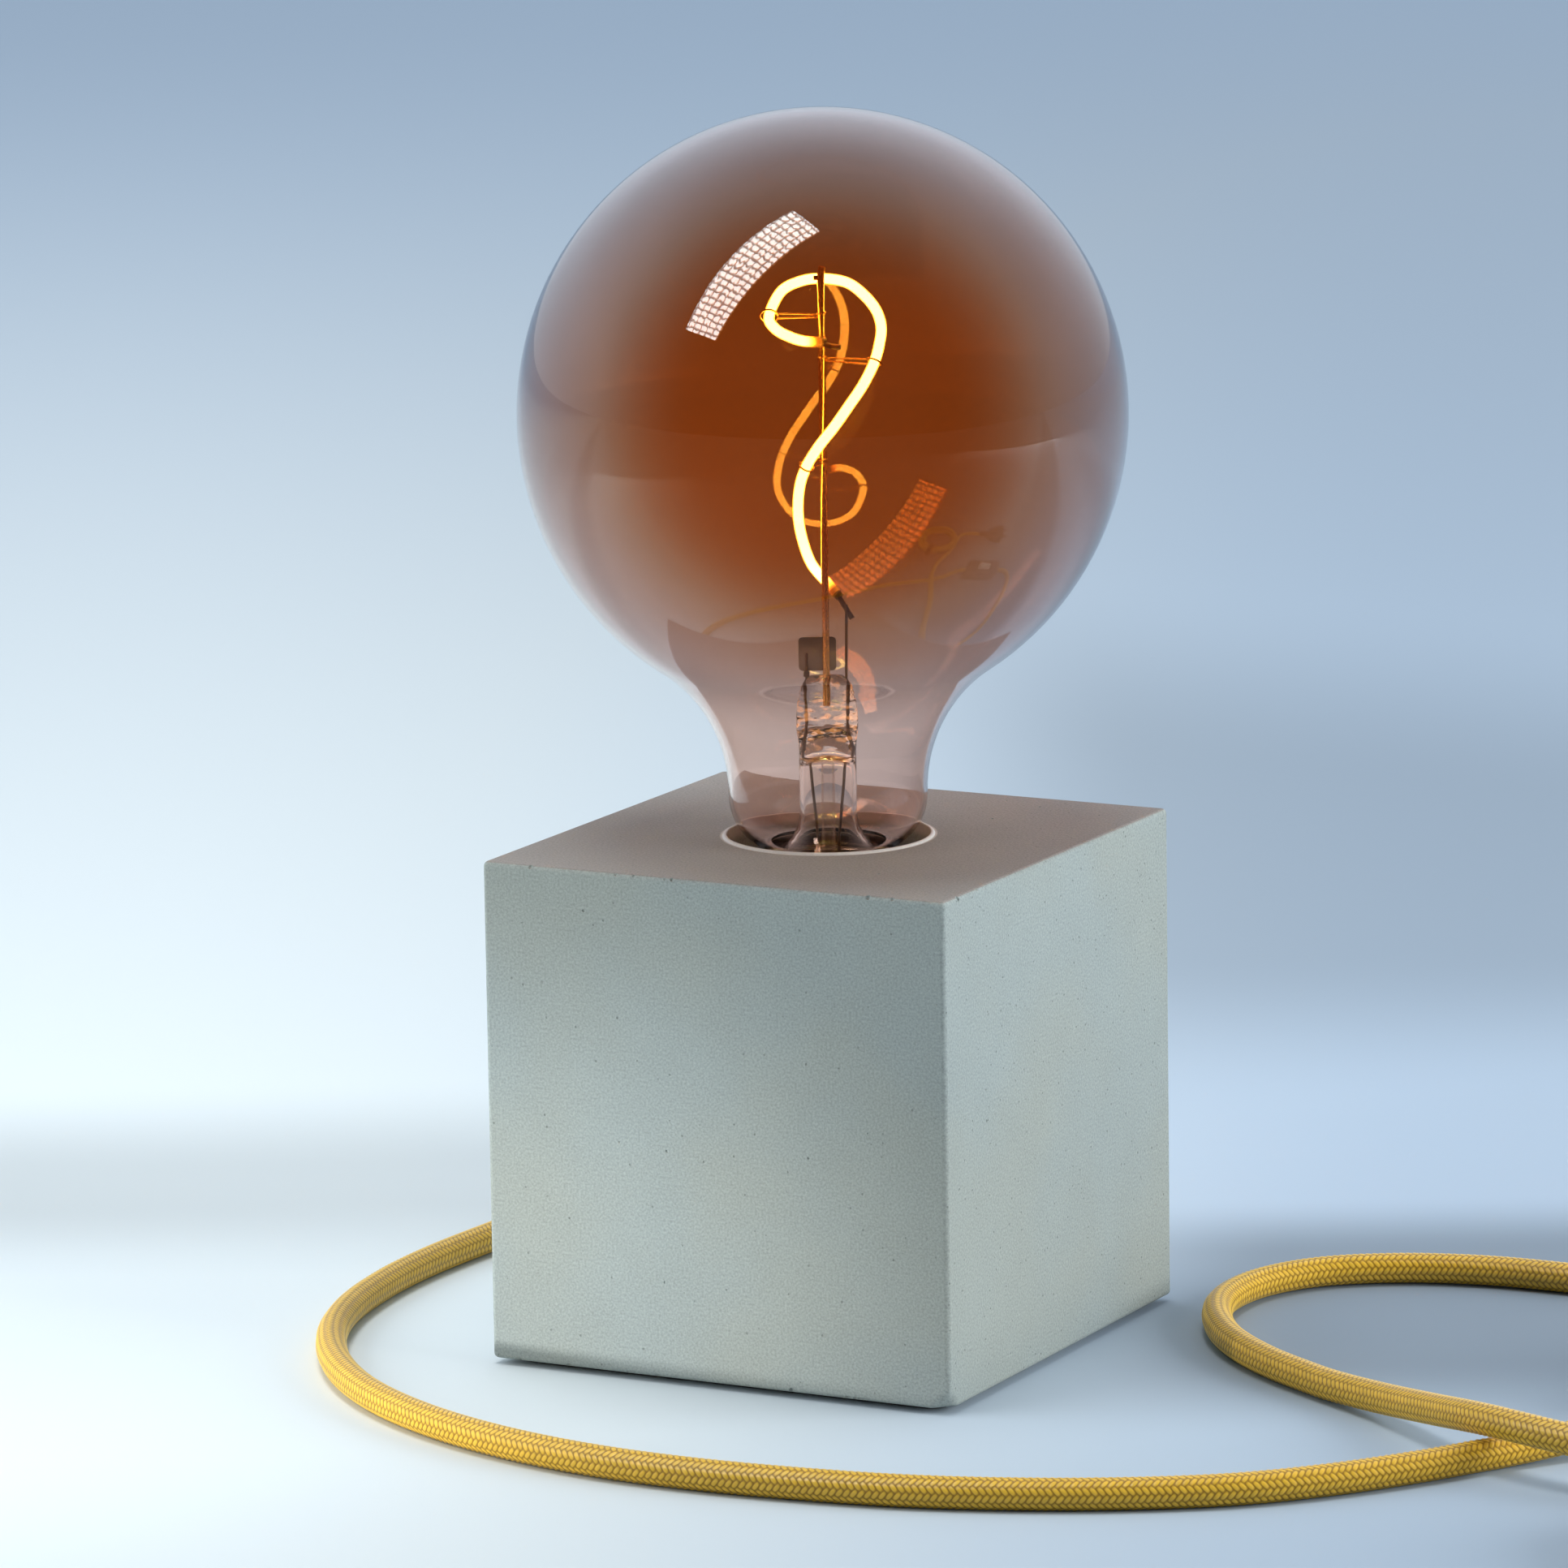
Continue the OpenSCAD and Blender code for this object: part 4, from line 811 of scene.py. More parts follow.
    def low_spot(self, power):
        """A narrow light from low at the left, whose fall-off shades the cube's front."""
        spot = added("low_spot", bpy.ops.object.light_add, type="SPOT",
                     location=(-0.485, -0.942, 0.055))
        aim = Vector((0.445, 0.89, -0.047))
        spot.rotation_euler = aim.to_track_quat("-Z", "Y").to_euler()
        spot.data.energy = power
        spot.data.spot_size = math.radians(11)
        spot.data.spot_blend = 1.0
        spot.data.shadow_soft_size = 0.03
        return spot

    def strip(self, power):
        """The long softbox that the globe mirrors."""
        place = GLOBE_MIDDLE + seen(-0.424, 0.756, 0.497) * 0.9
        strip = lamp("strip", place, GLOBE_MIDDLE, (0.86, 0.22), power, (0.88, 0.96, 1.0),
                     seen(0.712, 0.625, -0.36))
        strip.visible_diffuse = False
        self.grid(strip.data)

    def walls(self, power):
        """Soft lights at the left and the right."""
        place = GLOBE_MIDDLE + seen(-0.88, 0.04, 0.30) * 0.62
        left = lamp("left_wall", place, (0, 0, 0.04), (0.5, 0.5), power * 0.13, (0.95, 0.99, 1.0))
        place = GLOBE_MIDDLE + seen(0.93, -0.06, 0.25) * 1.3
        right = lamp("right_wall", place, GLOBE_MIDDLE, (1.4, 1.0), power * 2.3, (0.95, 0.98, 1.0))
        return left, right

    def execute(self, context):
        s = chosen("stage")
        scene = context.scene
        scene.view_settings.view_transform = "Standard"
        scene.camera = self.camera(s.lens)
        floor = added("floor", bpy.ops.mesh.primitive_plane_add, size=30, location=(0, 0, 0))
        floor.data.materials.append(self.floor(tuple(s.floor)))
        self.strip(s.strip)
        for light in (self.sun(s.above), *self.walls(s.fill), self.low_spot(s.fill * 2.05)):
            light.visible_glossy = light.visible_transmission = False
        scene.world = self.surroundings(s.world)
        return {"FINISHED"}


# Braided flex

# Centrelines in millimetres; a flex that lies on the table has its middle this high
LIE = 3.25
LAMP_RUN = [
    (0, 62.5, 13), (0, 74, 12.9), (-0.5, 87, 11.8), (-5, 100, 9), (-15, 110.5, 6), (-29, 115, 4),
    (-46, 113), (-65, 104), (-82, 87), (-93, 67), (-98, 46), (-100, 26), (-101, 6), (-100, -14),
    (-96, -36), (-88, -57), (-75, -77), (-58, -94), (-38, -107), (-16, -116), (7, -121),
    (30, -122), (53, -120), (75, -116), (96, -109), (115, -100), (132, -89), (146, -75),
    (158, -59), (168, -43), (179, -28, 4.5), (190, -14, 7.5), (196, 0, 8.5)]
LOOP_RUN = [
    (196, 60, 8.5), (196, 71, 7.7), (192, 83.5, 5.8), (182, 92.7, 4.2), (167, 96), (148, 94.5),
    (130, 92), (110, 91), (92, 86), (77, 76), (69, 62), (68, 46), (73, 31), (83, 16), (97, 3),
    (114, -8), (131, -18, 4.3), (148, -31, 7), (166, -45, 10.1), (186, -52, 10.1), (207, -52, 8),
    (228, -47, 5.5), (249.5, -43.5, 4.25)]
PLUG_RUN = [
    (262.5, -43.5, 11.35), (272, -42, 10.4), (281, -36, 8.9), (287, -26, 7.6), (290, -13, 6.85),
    (290, 0, 6.85)]
COIL_MIDDLE = (256.0, -82.0)
COIL_RADIUS = 38.5
COIL_TURNS = 3
COIL_STEP = 7.1
COIL_LOW = 4.25


def coil_line(count):
    """The coil's centreline: inwards on the table, then outwards on top of itself."""
    points = []
    half = COIL_TURNS / 2
    for k in range(count + 1):
        t = COIL_TURNS * k / count
        r = COIL_RADIUS - COIL_STEP * (half - abs(half - t))
        s = max(0.0, min(1.0, 2 * (t - half) + 0.5))
        z = COIL_LOW + COIL_STEP * (1 - math.cos(math.pi * s)) / 2
        turn = 2 * math.pi * t
        points.append(Vector((
            COIL_MIDDLE[0] + r * math.sin(turn), COIL_MIDDLE[1] + r * math.cos(turn), z)))
    return points


def run(points, count):
    """A smooth centreline; points without a height, and its lowest places, lie on the table."""
    places = line([(*p, LIE)[:3] for p in points], count)
    return [Vector((p.x, p.y, max(p.z, LIE))) for p in places]


def even(points, step):
    """Places along a line of points, about a step apart."""
    lengths = [0.0]
    for p, q in zip(points, points[1:]):
        lengths.append(lengths[-1] + (q - p).length)
    count = round(lengths[-1] / step)
    places, i = [], 0
    for k in range(count + 1):
        s = lengths[-1] * k / count
        while i < len(points) - 2 and lengths[i + 1] < s:
            i += 1
        t = (s - lengths[i]) / (lengths[i + 1] - lengths[i])
        places.append(points[i].lerp(points[i + 1], t))
    return places


def braid_height(a, b):
    """Height of the braid, 0 to 1, at the numbers of its two sets of yarns."""
    a, b = a + 1e-4, b + 1e-4
    i, j = math.floor(a), math.floor(b)
    step = (i + j) % 4
    if step < 2:
        wide, long = a - i, (step + b - j) / 2
    else:
        wide, long = b - j, (step - 2 + a - i) / 2
    return math.sin(math.pi * wide) ** 0.6 * (0.3 + 0.7 * math.sin(math.pi * long))


def flex_mesh(name, points):
    """The mesh of a flex along points, with a vertex on every yarn and groove."""
    s = chosen("flex")
    radius = s.diameter / MM / 2
    pitch = s.pitch / MM
    relief = s.relief / MM
    girth = 2 * math.pi * radius
    count = 2 * s.rows
    places = even(points, pitch / 4)
    last = len(places) - 1
    side = Vector((0, 0, 1))
    verts = []
    for m, place in enumerate(places):
        ahead = (places[min(m + 1, last)] - places[max(m - 1, 0)]).normalized()
        side = (side - ahead * side.dot(ahead)).normalized()
        other = ahead.cross(side)
        for k in range(count):
            u = (k + 0.5 * (m % 2)) / count
            n = u * s.rows
            r = radius - relief * (1 - braid_height(n + m / 4, n - m / 4))
            turn = 2 * math.pi * u
            verts.append((place + side * (r * math.cos(turn)) + other * (r * math.sin(turn))) * MM)
    # Faces as (row, column), where a column may run past the seam
    cells = [
        ((m, k), (m + 1, k + m % 2), (m + 2, k), (m + 1, k + m % 2 - 1))
        for m in range(last - 1) for k in range(count)]
    shift = 1 - last % 2
    for k in range(count):
        cells.append(((0, k), (0, k + 1), (1, k)))
        cells.append(((last - 1, k), (last, k + shift), (last, k + shift - 1)))
    cells.append([(0, k) for k in reversed(range(count))])
    cells.append([(last, k) for k in range(count)])
    mesh = bpy.data.meshes.new(name)
    mesh.from_pydata(verts, [], [[m * count + k % count for m, k in cell] for cell in cells])
    layer = mesh.uv_layers.new(name="UVMap")
    for uv, (m, k) in zip(layer.data, (corner for cell in cells for corner in cell)):
        uv.uv = ((k + 0.5 * (m % 2)) / count, m / 4 * pitch / girth)
    mesh.validate()
    return mesh


def flex(name, points):
    """A braided flex along points in millimetres."""
    piece = bpy.data.objects.new(name, flex_mesh(name, points))
    bpy.context.scene.collection.objects.link(piece)
    edit(piece)
    bpy.ops.mesh.normals_make_consistent(inside=False)
    clear()
    return smooth(piece, 60)


class CUBELAMP_OT_flex(bpy.types.Operator):
    """Lay the braided flex from the lamp to its switch, and on to the coil and the plug"""

    bl_idname = "cube_lamp.flex"
    bl_label = "Textile flex"

    def execute(self, context):
        first = run(LAMP_RUN, 640)
        second = run(LOOP_RUN, 400) + coil_line(360) + run(PLUG_RUN, 60)
        runs = [
            ("flex_to_switch", first, ("cord_lamp_run",)),
            ("flex_to_plug", second, ("cord_loop_run", "cord_coil", "cord_plug_run")),
        ]
        for name, points, nodes in runs:
            dress(flex(name, points), "lamp_base", "flex_braid", "flex", *nodes)
            LAID[name] = points
        return {"FINISHED"}


LAID = {}


class CUBELAMP_OT_measure(bpy.types.Operator):
    """Work out the path and the length of each run of flex"""

    bl_idname = "cube_lamp.measure"
    bl_label = "Measure the flex"

    def execute(self, context):
        for name, points in LAID.items():
            path = [tuple(p * MM) for p in points[::2]] + [tuple(points[-1] * MM)]
            length = sum((q - p).length for p, q in zip(points, points[1:])) * MM
            tuple(points[0] * MM)
            chosen("flex").diameter
        return {"FINISHED"}


# Concrete cube

# In millimetres: half the width, the heights of pad, top, holder's shelf and recess, the bore's
# radius and the flex hole's height
CUBE = 52.5
PAD = 1.2
TOP = 105.5
SHELF = 43.0
RECESS = 33.0
BORE = 21.0
EXIT = 13.0


def pits(count):
    """Small lumps that are cut out of the concrete: pits in its faces, chips at its edges."""
    rng = random.Random(11)
    near, high = CUBE - 0.2, TOP - 0.2
    made = []
    for n in range(count):
        chip = n % 3 == 0
        size = rng.uniform(0.25, 0.7) if chip else rng.uniform(0.18, 0.42)
        u, v = rng.uniform(-48, 48), rng.uniform(5, 102)
        depth = size * rng.uniform(0.35, 0.7)
        if chip:
            edge = rng.choice(("front", "front", "right", "left", "back", "foot", "foot"))
            place = {
                "front": (u, -near, high), "right": (near, u, high), "left": (-near, u, high),
                "back": (u, near, high), "foot": (u, -near, PAD + 0.2)}[edge]
        else:
            out = CUBE + size - depth
            place = [
                (u, -out, v), (out, u, v), (u, out, v), (-out, u, v),
                (u, rng.choice((-1, 1)) * rng.uniform(26, 50), TOP + size - depth)][n % 5]
        made.append(settle(added(
            "pit", bpy.ops.mesh.primitive_ico_sphere_add, subdivisions=2, radius=size * MM,
            location=Vector(place) * MM, rotation=[rng.uniform(0, 3) for _ in range(3)],
            scale=(rng.uniform(0.8, 1.6), rng.uniform(0.7, 1.2), rng.uniform(0.7, 1.2)))))
    return joined("pits", *made)


class CUBELAMP_OT_concrete(bpy.types.Operator):
    """Cast the concrete cube with its bore, recess, flex hole, worn edges and pits"""

    bl_idname = "cube_lamp.concrete"
    bl_label = "Concrete cube"

    def cube(self, s):
        """The cube, with a thin cast lip round its bore and a worn corner at its front foot."""
        body = block("concrete_body", (-CUBE, -CUBE, PAD), (CUBE, CUBE, TOP))
        bevel(body, s.corner / MM, 1, lambda p: p.x > 52 and p.y < -52 and p.z < 2, "VERTICES")
        bevel(body, s.edge / MM, 5)
        well = drum("well", BORE, SHELF, TOP + 5, 128)
        lip = lathe("lip", [(BORE + out, TOP + up) for out, up in (
            (0, -2), (0, 0.3), (0.15, 0.45), (0.45, 0.45), (0.7, 0.3), (1.0, -0.1), (1.0, -2))],
            128, True)
        stem = drum("stem", 5.2, RECESS - 1, SHELF + 1, 48)
        recess = block("recess", (-30, -30, PAD - 2), (30, 30, RECESS))
        bevel(recess, 2, 4, along("z", 1))
        hole = turned(drum("hole", 6.1, 0, 30, 48), (0, 29, EXIT), (-90, 0, 0))
        cut(body, well, stem, recess, hole)
        cut(body, lip, operation="UNION")
        if s.pits:
            cut(body, pits(s.pits))
        smooth(body, 32)
        modify(body, "WEIGHTED_NORMAL", mode="FACE_AREA", weight=100, keep_sharp=True)
        dress(body, "lamp_base", "concrete", "concrete", "concrete_cube")

    def pad(self):
        """The soft pad under the cube."""
        pad = block("base_felt", (-48.5, -48.5, 0), (48.5, 48.5, PAD))
        bevel(pad, 4, 8, along("z", 1))
        bevel(pad, 0.2, 2, level("z"))
        dress(smooth(pad), "lamp_base", "pad_felt", "pad", "base_pad")

    def execute(self, context):
        self.cube(chosen("concrete"))
        self.pad()
        return {"FINISHED"}


# Lampholder and bushing

class CUBELAMP_OT_holder(bpy.types.Operator):
    """Turn the lampholder's sleeve and the flex's bushing, and finish the parts inside"""

    bl_idname = "cube_lamp.holder"
    bl_label = "Lampholder and bushing"

    def sleeve(self):
        """The holder's sleeve, with a rounded rim."""
        sleeve = lathe("holder_ring", [
            (17.5, 62), (19.5, 62), (19.5, 98.9), *arc(18.4, 98.9, 1.1, 0, 90, 5),
            *arc(15.3, 99.5, 0.5, 90, 180, 4), (14.8, 97.5), (17.5, 97.5)], 128, True)
        dress(smooth(sleeve), "lamp_base", "black_plastic", "black_plastic", "holder_sleeve")

    def hidden_parts(self):
        """The CAD's own parts inside the cube, which only get their materials."""
        paint("black_plastic", "holder_dome")
        paint("porcelain", "holder_core")
        paint("brass", "holder_shell", "centre_contact", "side_contact")
        paint("steel", "terminal_screws", "threaded_tube", "tube_nut", "tube_washers")
        paint("matt_plastic", "bushing_nut")
        paint("ivory_plastic", "pull_stop")
        paint("brown_core", "live_core")
        paint("blue_core", "neutral_core")

    def inner_flex(self):
        """The flex inside the cube."""
        inner = wire("flex_inside", [(0, y, EXIT) for y in (62.6, 45, 30, 12)], 3.25, 32)
        dress(inner, "lamp_base", "matt_plastic", "flex", "inner_cord")

    def bushing(self):
        """The ribbed bushing at the back, where the flex comes out."""
        bushing = lathe("flex_bushing", [
            (3.35, 25.1), (6, 25.1), (6, 52.5), (8.1, 52.5), *arc(8.1, 52.9, 0.4, -90, 0, 3),
            *arc(7.8, 53.8, 0.7, 0, 90, 4), (6.1, 54.5), (5.85, 55.6), (5.45, 55.9), (5.45, 56.5),
            (5.72, 56.8), (5.5, 58.2), (5.1, 58.5), (5.1, 59.1), (5.32, 59.4), (5.1, 60.8),
            (4.75, 61.1), (4.72, 61.9), *arc(4.0, 61.9, 0.55, 20, 90, 3), (3.35, 62.45)], 64, True)
        turned(bushing, (0, 0, EXIT), (-90, 0, 0))
        dress(smooth(bushing), "lamp_base", "matt_plastic", "black_plastic", "cord_bushing")

    def execute(self, context):
        self.sleeve()
        self.hidden_parts()
        self.inner_flex()
        self.bushing()
        return {"FINISHED"}


# Globe lamp

# In millimetres, apart from the turn of the mount inside the globe, in degrees
TURN = 27.5
GLOBE = 193.17
GLOBE_R = 62.5
NECK_R = 20.5
FLARE_R = 31.5
SHOULDER_R = 11.5
SHOULDER_X = 9.0
SHOULDER_Z = 113.87
WAIST = 114.87
CAP_RIM = 103.2
TAIL_R = 12.8
THREAD_R = 12.65
THREAD_A = 0.45
THREAD_PITCH = 3.629


class CUBELAMP_OT_globe(bpy.types.Operator):
    """Blow the smoky globe"""

    bl_idname = "cube_lamp.globe"
    bl_label = "Globe"

    def execute(self, context):
        reach = NECK_R + FLARE_R
        lean = math.degrees(math.acos(reach / (GLOBE_R + FLARE_R)))
        foot = math.degrees(math.acos((13.3 - SHOULDER_X) / SHOULDER_R))
        profile = [
            (TAIL_R, 100.2), (TAIL_R, CAP_RIM),
            *arc(SHOULDER_X, SHOULDER_Z, SHOULDER_R, -foot, 0, 12),
            *arc(reach, WAIST, FLARE_R, 180, 180 - lean, 18),
            *arc(0, GLOBE, GLOBE_R, -lean, 90, 56)[1:]]
        globe = lathe("globe_glass_smoky", profile, 160)
        modify(globe, "SOLIDIFY", thickness=chosen("glass").wall, offset=-1, use_even_offset=True)
        smooth(globe, 60)
        dress(globe, "bulb", "smoky_glass", "smoky_glass", "globe_glass")
        return {"FINISHED"}


class CUBELAMP_OT_cap(bpy.types.Operator):
    """Roll the threaded cap with its insulator and tip"""

    bl_idname = "cube_lamp.cap"
    bl_label = "Screw cap"

    def thread(self):
        """The rolled thread, cut off level at both ends."""
        low, high = 83.5, 100.0
        start = THREAD_PITCH * math.floor(low / THREAD_PITCH)
        count = 16
        heights = [start + THREAD_PITCH * k / count for k in range(count + 1)]
        cap = draw("cap_thread", [
            (THREAD_R + THREAD_A * math.cos(2 * math.pi * z / THREAD_PITCH), 0, z)
            for z in heights])
        clear()
        modify(cap, "SCREW", angle=2 * math.pi, screw_offset=THREAD_PITCH * MM,
               iterations=math.ceil((high - start) / THREAD_PITCH) + 1, steps=96,
               render_steps=96, use_merge_vertices=True, merge_threshold=1e-6)
        edit(cap)
        for z, keep_above in ((low, True), (high, False)):
            bpy.ops.mesh.select_all(action="SELECT")
            bpy.ops.mesh.bisect(
                plane_co=(0, 0, z * MM), plane_no=(0, 0, 1), clear_inner=keep_above,
                clear_outer=not keep_above)
        tidy_mesh()
        modify(cap, "SOLIDIFY", thickness=0.45 * MM, offset=-1)
        return cap

    def execute(self, context):
        cap = self.thread()
        collar = lathe("cap_collar", [
            (12.7, 99.6), (13.1, 99.8), *arc(12.9, 100.6, 0.6, -60, 0, 3), (13.5, 102.7),
            *arc(13.25, 102.7, 0.25, 0, 90, 3), (13.0, 102.95), (13.0, 100.2), (12.4, 99.9)],
            96, True)
        foot = lathe("cap_foot", [
            (12.2, 83.9), (11.9, 83.3), (11.5, 83.2), (11.2, 83.5), (11.4, 84.1)], 96, True)
        cap = joined("cap_thread", cap, collar, foot)
        dress(smooth(cap, 40), "bulb", "nickel", "cap_metal", "lamp_cap")
        paint("vitrite", "cap_insulator")
        paint("steel", "cap_tip")
        paint("board", "driver_board")
        paint("board_parts", "driver_parts")
        return {"FINISHED"}


def ringed(name, rows, sides=48):
    """A closed form drawn out from ring to ring: (height, half width, half depth, squareness)."""
    piece = added(name, bpy.ops.mesh.primitive_circle_add, vertices=sides, radius=MM,
                  location=(0, 0, 0))
    edit(piece)
    for _ in rows[1:]:
        bpy.ops.mesh.extrude_region_move(TRANSFORM_OT_translate={"value": (0, 0, MM)})
    clear()
    for vertex in piece.data.vertices:
        z, w, d, k = rows[min(len(rows) - 1, round(vertex.co.z / MM))]
        turn = math.atan2(vertex.co.y, vertex.co.x)
        c, s = math.cos(turn), math.sin(turn)
        x = math.copysign(abs(c) ** (2 / k), c) * w
        y = math.copysign(abs(s) ** (2 / k), s) * d
        vertex.co = Vector((x, y, z)) * MM
    edit(piece)
    tidy_mesh()
    return piece


def in_globe(piece):
    """Turn a piece drawn along the post's own axes to where the lamp faces."""
    return turned(piece, (0, 0, 0), (0, 0, TURN))


class CUBELAMP_OT_stem(bpy.types.Operator):
    """Form the glass stem with its pinch, and mount the post, plate and lead wires"""

    bl_idname = "cube_lamp.stem"
    bl_label = "Stem and post"

    def stem(self):
        """The glass stem, flared at its foot and pinched flat at its top."""
        flare = [
            (122.9, 0), (122.7, 2.4), (121.8, 4.2), (120.3, 5.0), (109.6, 5.0), (106.5, 5.6),
            (104.0, 6.9), (102.0, 8.9), (100.3, 10.6), (100.3, 11.9), (101.3, 11.2), (102.8, 9.4),
            (104.8, 7.6), (107.2, 6.4), (110, 5.9), (118, 5.9)]
        pinch = [
            (123.4, 5.9, 5.8, 2), (125.2, 6.0, 4.9, 2.2), (126.6, 6.2, 3.6, 2.7),
            (127.9, 6.35, 2.75, 3.4), (129.6, 6.35, 2.5, 4), (132, 6.3, 2.45, 4),
            (134.6, 6.0, 2.45, 4), (136.5, 5.2, 2.4, 3.6), (137.8, 4.4, 2.2, 3.2),
            (138.6, 3.4, 1.6, 2.6), (138.87, 0, 0, 2)]
        stem = in_globe(ringed("stem_glass", [(z, r, r, 2) for z, r in flare] + pinch))
        dress(smooth(stem, 60), "bulb", "clear_glass", "clear_glass", "glass_stem")

    def tube(self):
        """The thin exhaust tube inside the stem."""
        tube = lathe("exhaust_glass", [
            (1.15, 98.6), (1.4, 98.6), (1.4, 122.3), (1.3, 122.45), (1.22, 122.45), (1.15, 122.3)],
            32, True)
        dress(smooth(tube), "bulb", "thin_glass", "clear_glass", "exhaust_tube")

    def post(self):
        """The post that carries the filament, with a tab at its top and a band."""
        rod = [(0, 0, 133.5), (0, 0, 180), (0, 0, 221.2), (0.1, 0, 222.3), (0.35, -0.1, 223.3)]
        post = wire("post_rod", rod, 0.75, 20)
        tab = soft_block("post_tab", (-1.5, -0.35, 220.6), (-0.5, 0.35, 221.5), 0.15, 2)
        band = lathe("post_band", [
            (0.7, 207.4), (1.0, 207.5), (1.05, 208.2), (1.0, 208.9), (0.7, 209.0)], 24, True)
        post = in_globe(joined("post_rod", post, tab, band))
        dress(smooth(post, 40), "bulb", "gold_wire", "wire", "support_post")

    def plate(self):
        """The small metal plate on the pinch."""
        plate = block("bridge_sheet", (-5.7, 0.76, 139.5), (2.1, 1.14, 146.6))
        bevel(plate, 0.9, 5, along("y", 0.1))
        bevel(plate, 0.1, 2, level("y"))
        dress(smooth(in_globe(plate)), "bulb", "tin_plate", "wire", "bridge_plate")

    def leads(self):
        """Two lead wires with glass beads and a nub, and the short wire to the cap's tip."""
        foot = [(2.1, 97.6), (2.2, 104), (3.2, 117), (3.9, 124), (4.1, 128)]
        left = [(-x, 0, z) for x, z in foot]
        left += [(-4.1, 0, 138.8), (-4.1, 0.42, 140.4), (-4.1, 0.45, 143.2)]
        right = [(x, 0, z) for x, z in foot]
        right += [(4.1, 0, 139), (4.2, 0.1, 146), (4.3, 0.45, 153.4)]
        bead = [(0, 123.2), (0.35, 123.3), (0.55, 124), (0.35, 124.7), (0, 124.8)]
        beads = [turned(lathe("bead", bead, 16), (x, 0, 0)) for x in (-3.9, 3.9)]
        nub = soft_block("nub", (-4.7, -0.4, 138.4), (-3.5, 0.5, 139.6), 0.15, 2)
        leads = in_globe(joined(
            "lead_pair", wire("lead", line(left, 60), 0.3), wire("lead", line(right, 60), 0.3),
            *beads, nub, wire("lead", [(0, 0, 79.3), (0, 0, 84.5)], 0.3)))
        dress(smooth(leads, 40), "bulb", "dark_wire", "wire", "lead_wires")

    def execute(self, context):
        self.stem()
        self.tube()
        self.post()
        self.plate()
        self.leads()
        return {"FINISHED"}


# Turn round the post in degrees, distance from it and height over the globe's middle
FILAMENT = [
    (267, 2.2, 15), (231, 5.8, 15.6), (220, 8.6, 16.7), (206, 10.4, 18.2), (180, 10.6, 20.1),
    (148, 9.5, 24.5), (118, 8.2, 26.3), (86, 8, 26.6), (55, 9.2, 25.8), (34, 10.4, 23.6),
    (15, 11.6, 20.7), (0, 12.2, 17.6), (-12, 12, 14.4), (-23, 11.6, 11.1), (-38, 10.6, 6.8),
    (-55, 9.2, 2.5), (-74, 8.3, -1.6), (-97, 7.5, -5.7), (-120, 6.9, -10), (-143, 6.1, -14.4),
    (-180, 5.3, -20.2), (-203, 5.1, -25.6), (-227, 4.2, -31.4), (-270, 3.2, -35.2),
    (-318, 3.3, -37.9)]
HOOKS = (4, 13, 18)


def filament_marks():
    """The filament's centreline, drawn along the post's own axes."""
    return [
        Vector((r * math.cos(math.radians(a)), r * math.sin(math.radians(a)), GLOBE + z))
        for a, r, z in FILAMENT]


END_TOP = Vector((3.8, -3.2, GLOBE + 14))
END_LOW = Vector((5.5, 0.5, GLOBE - 42.8))


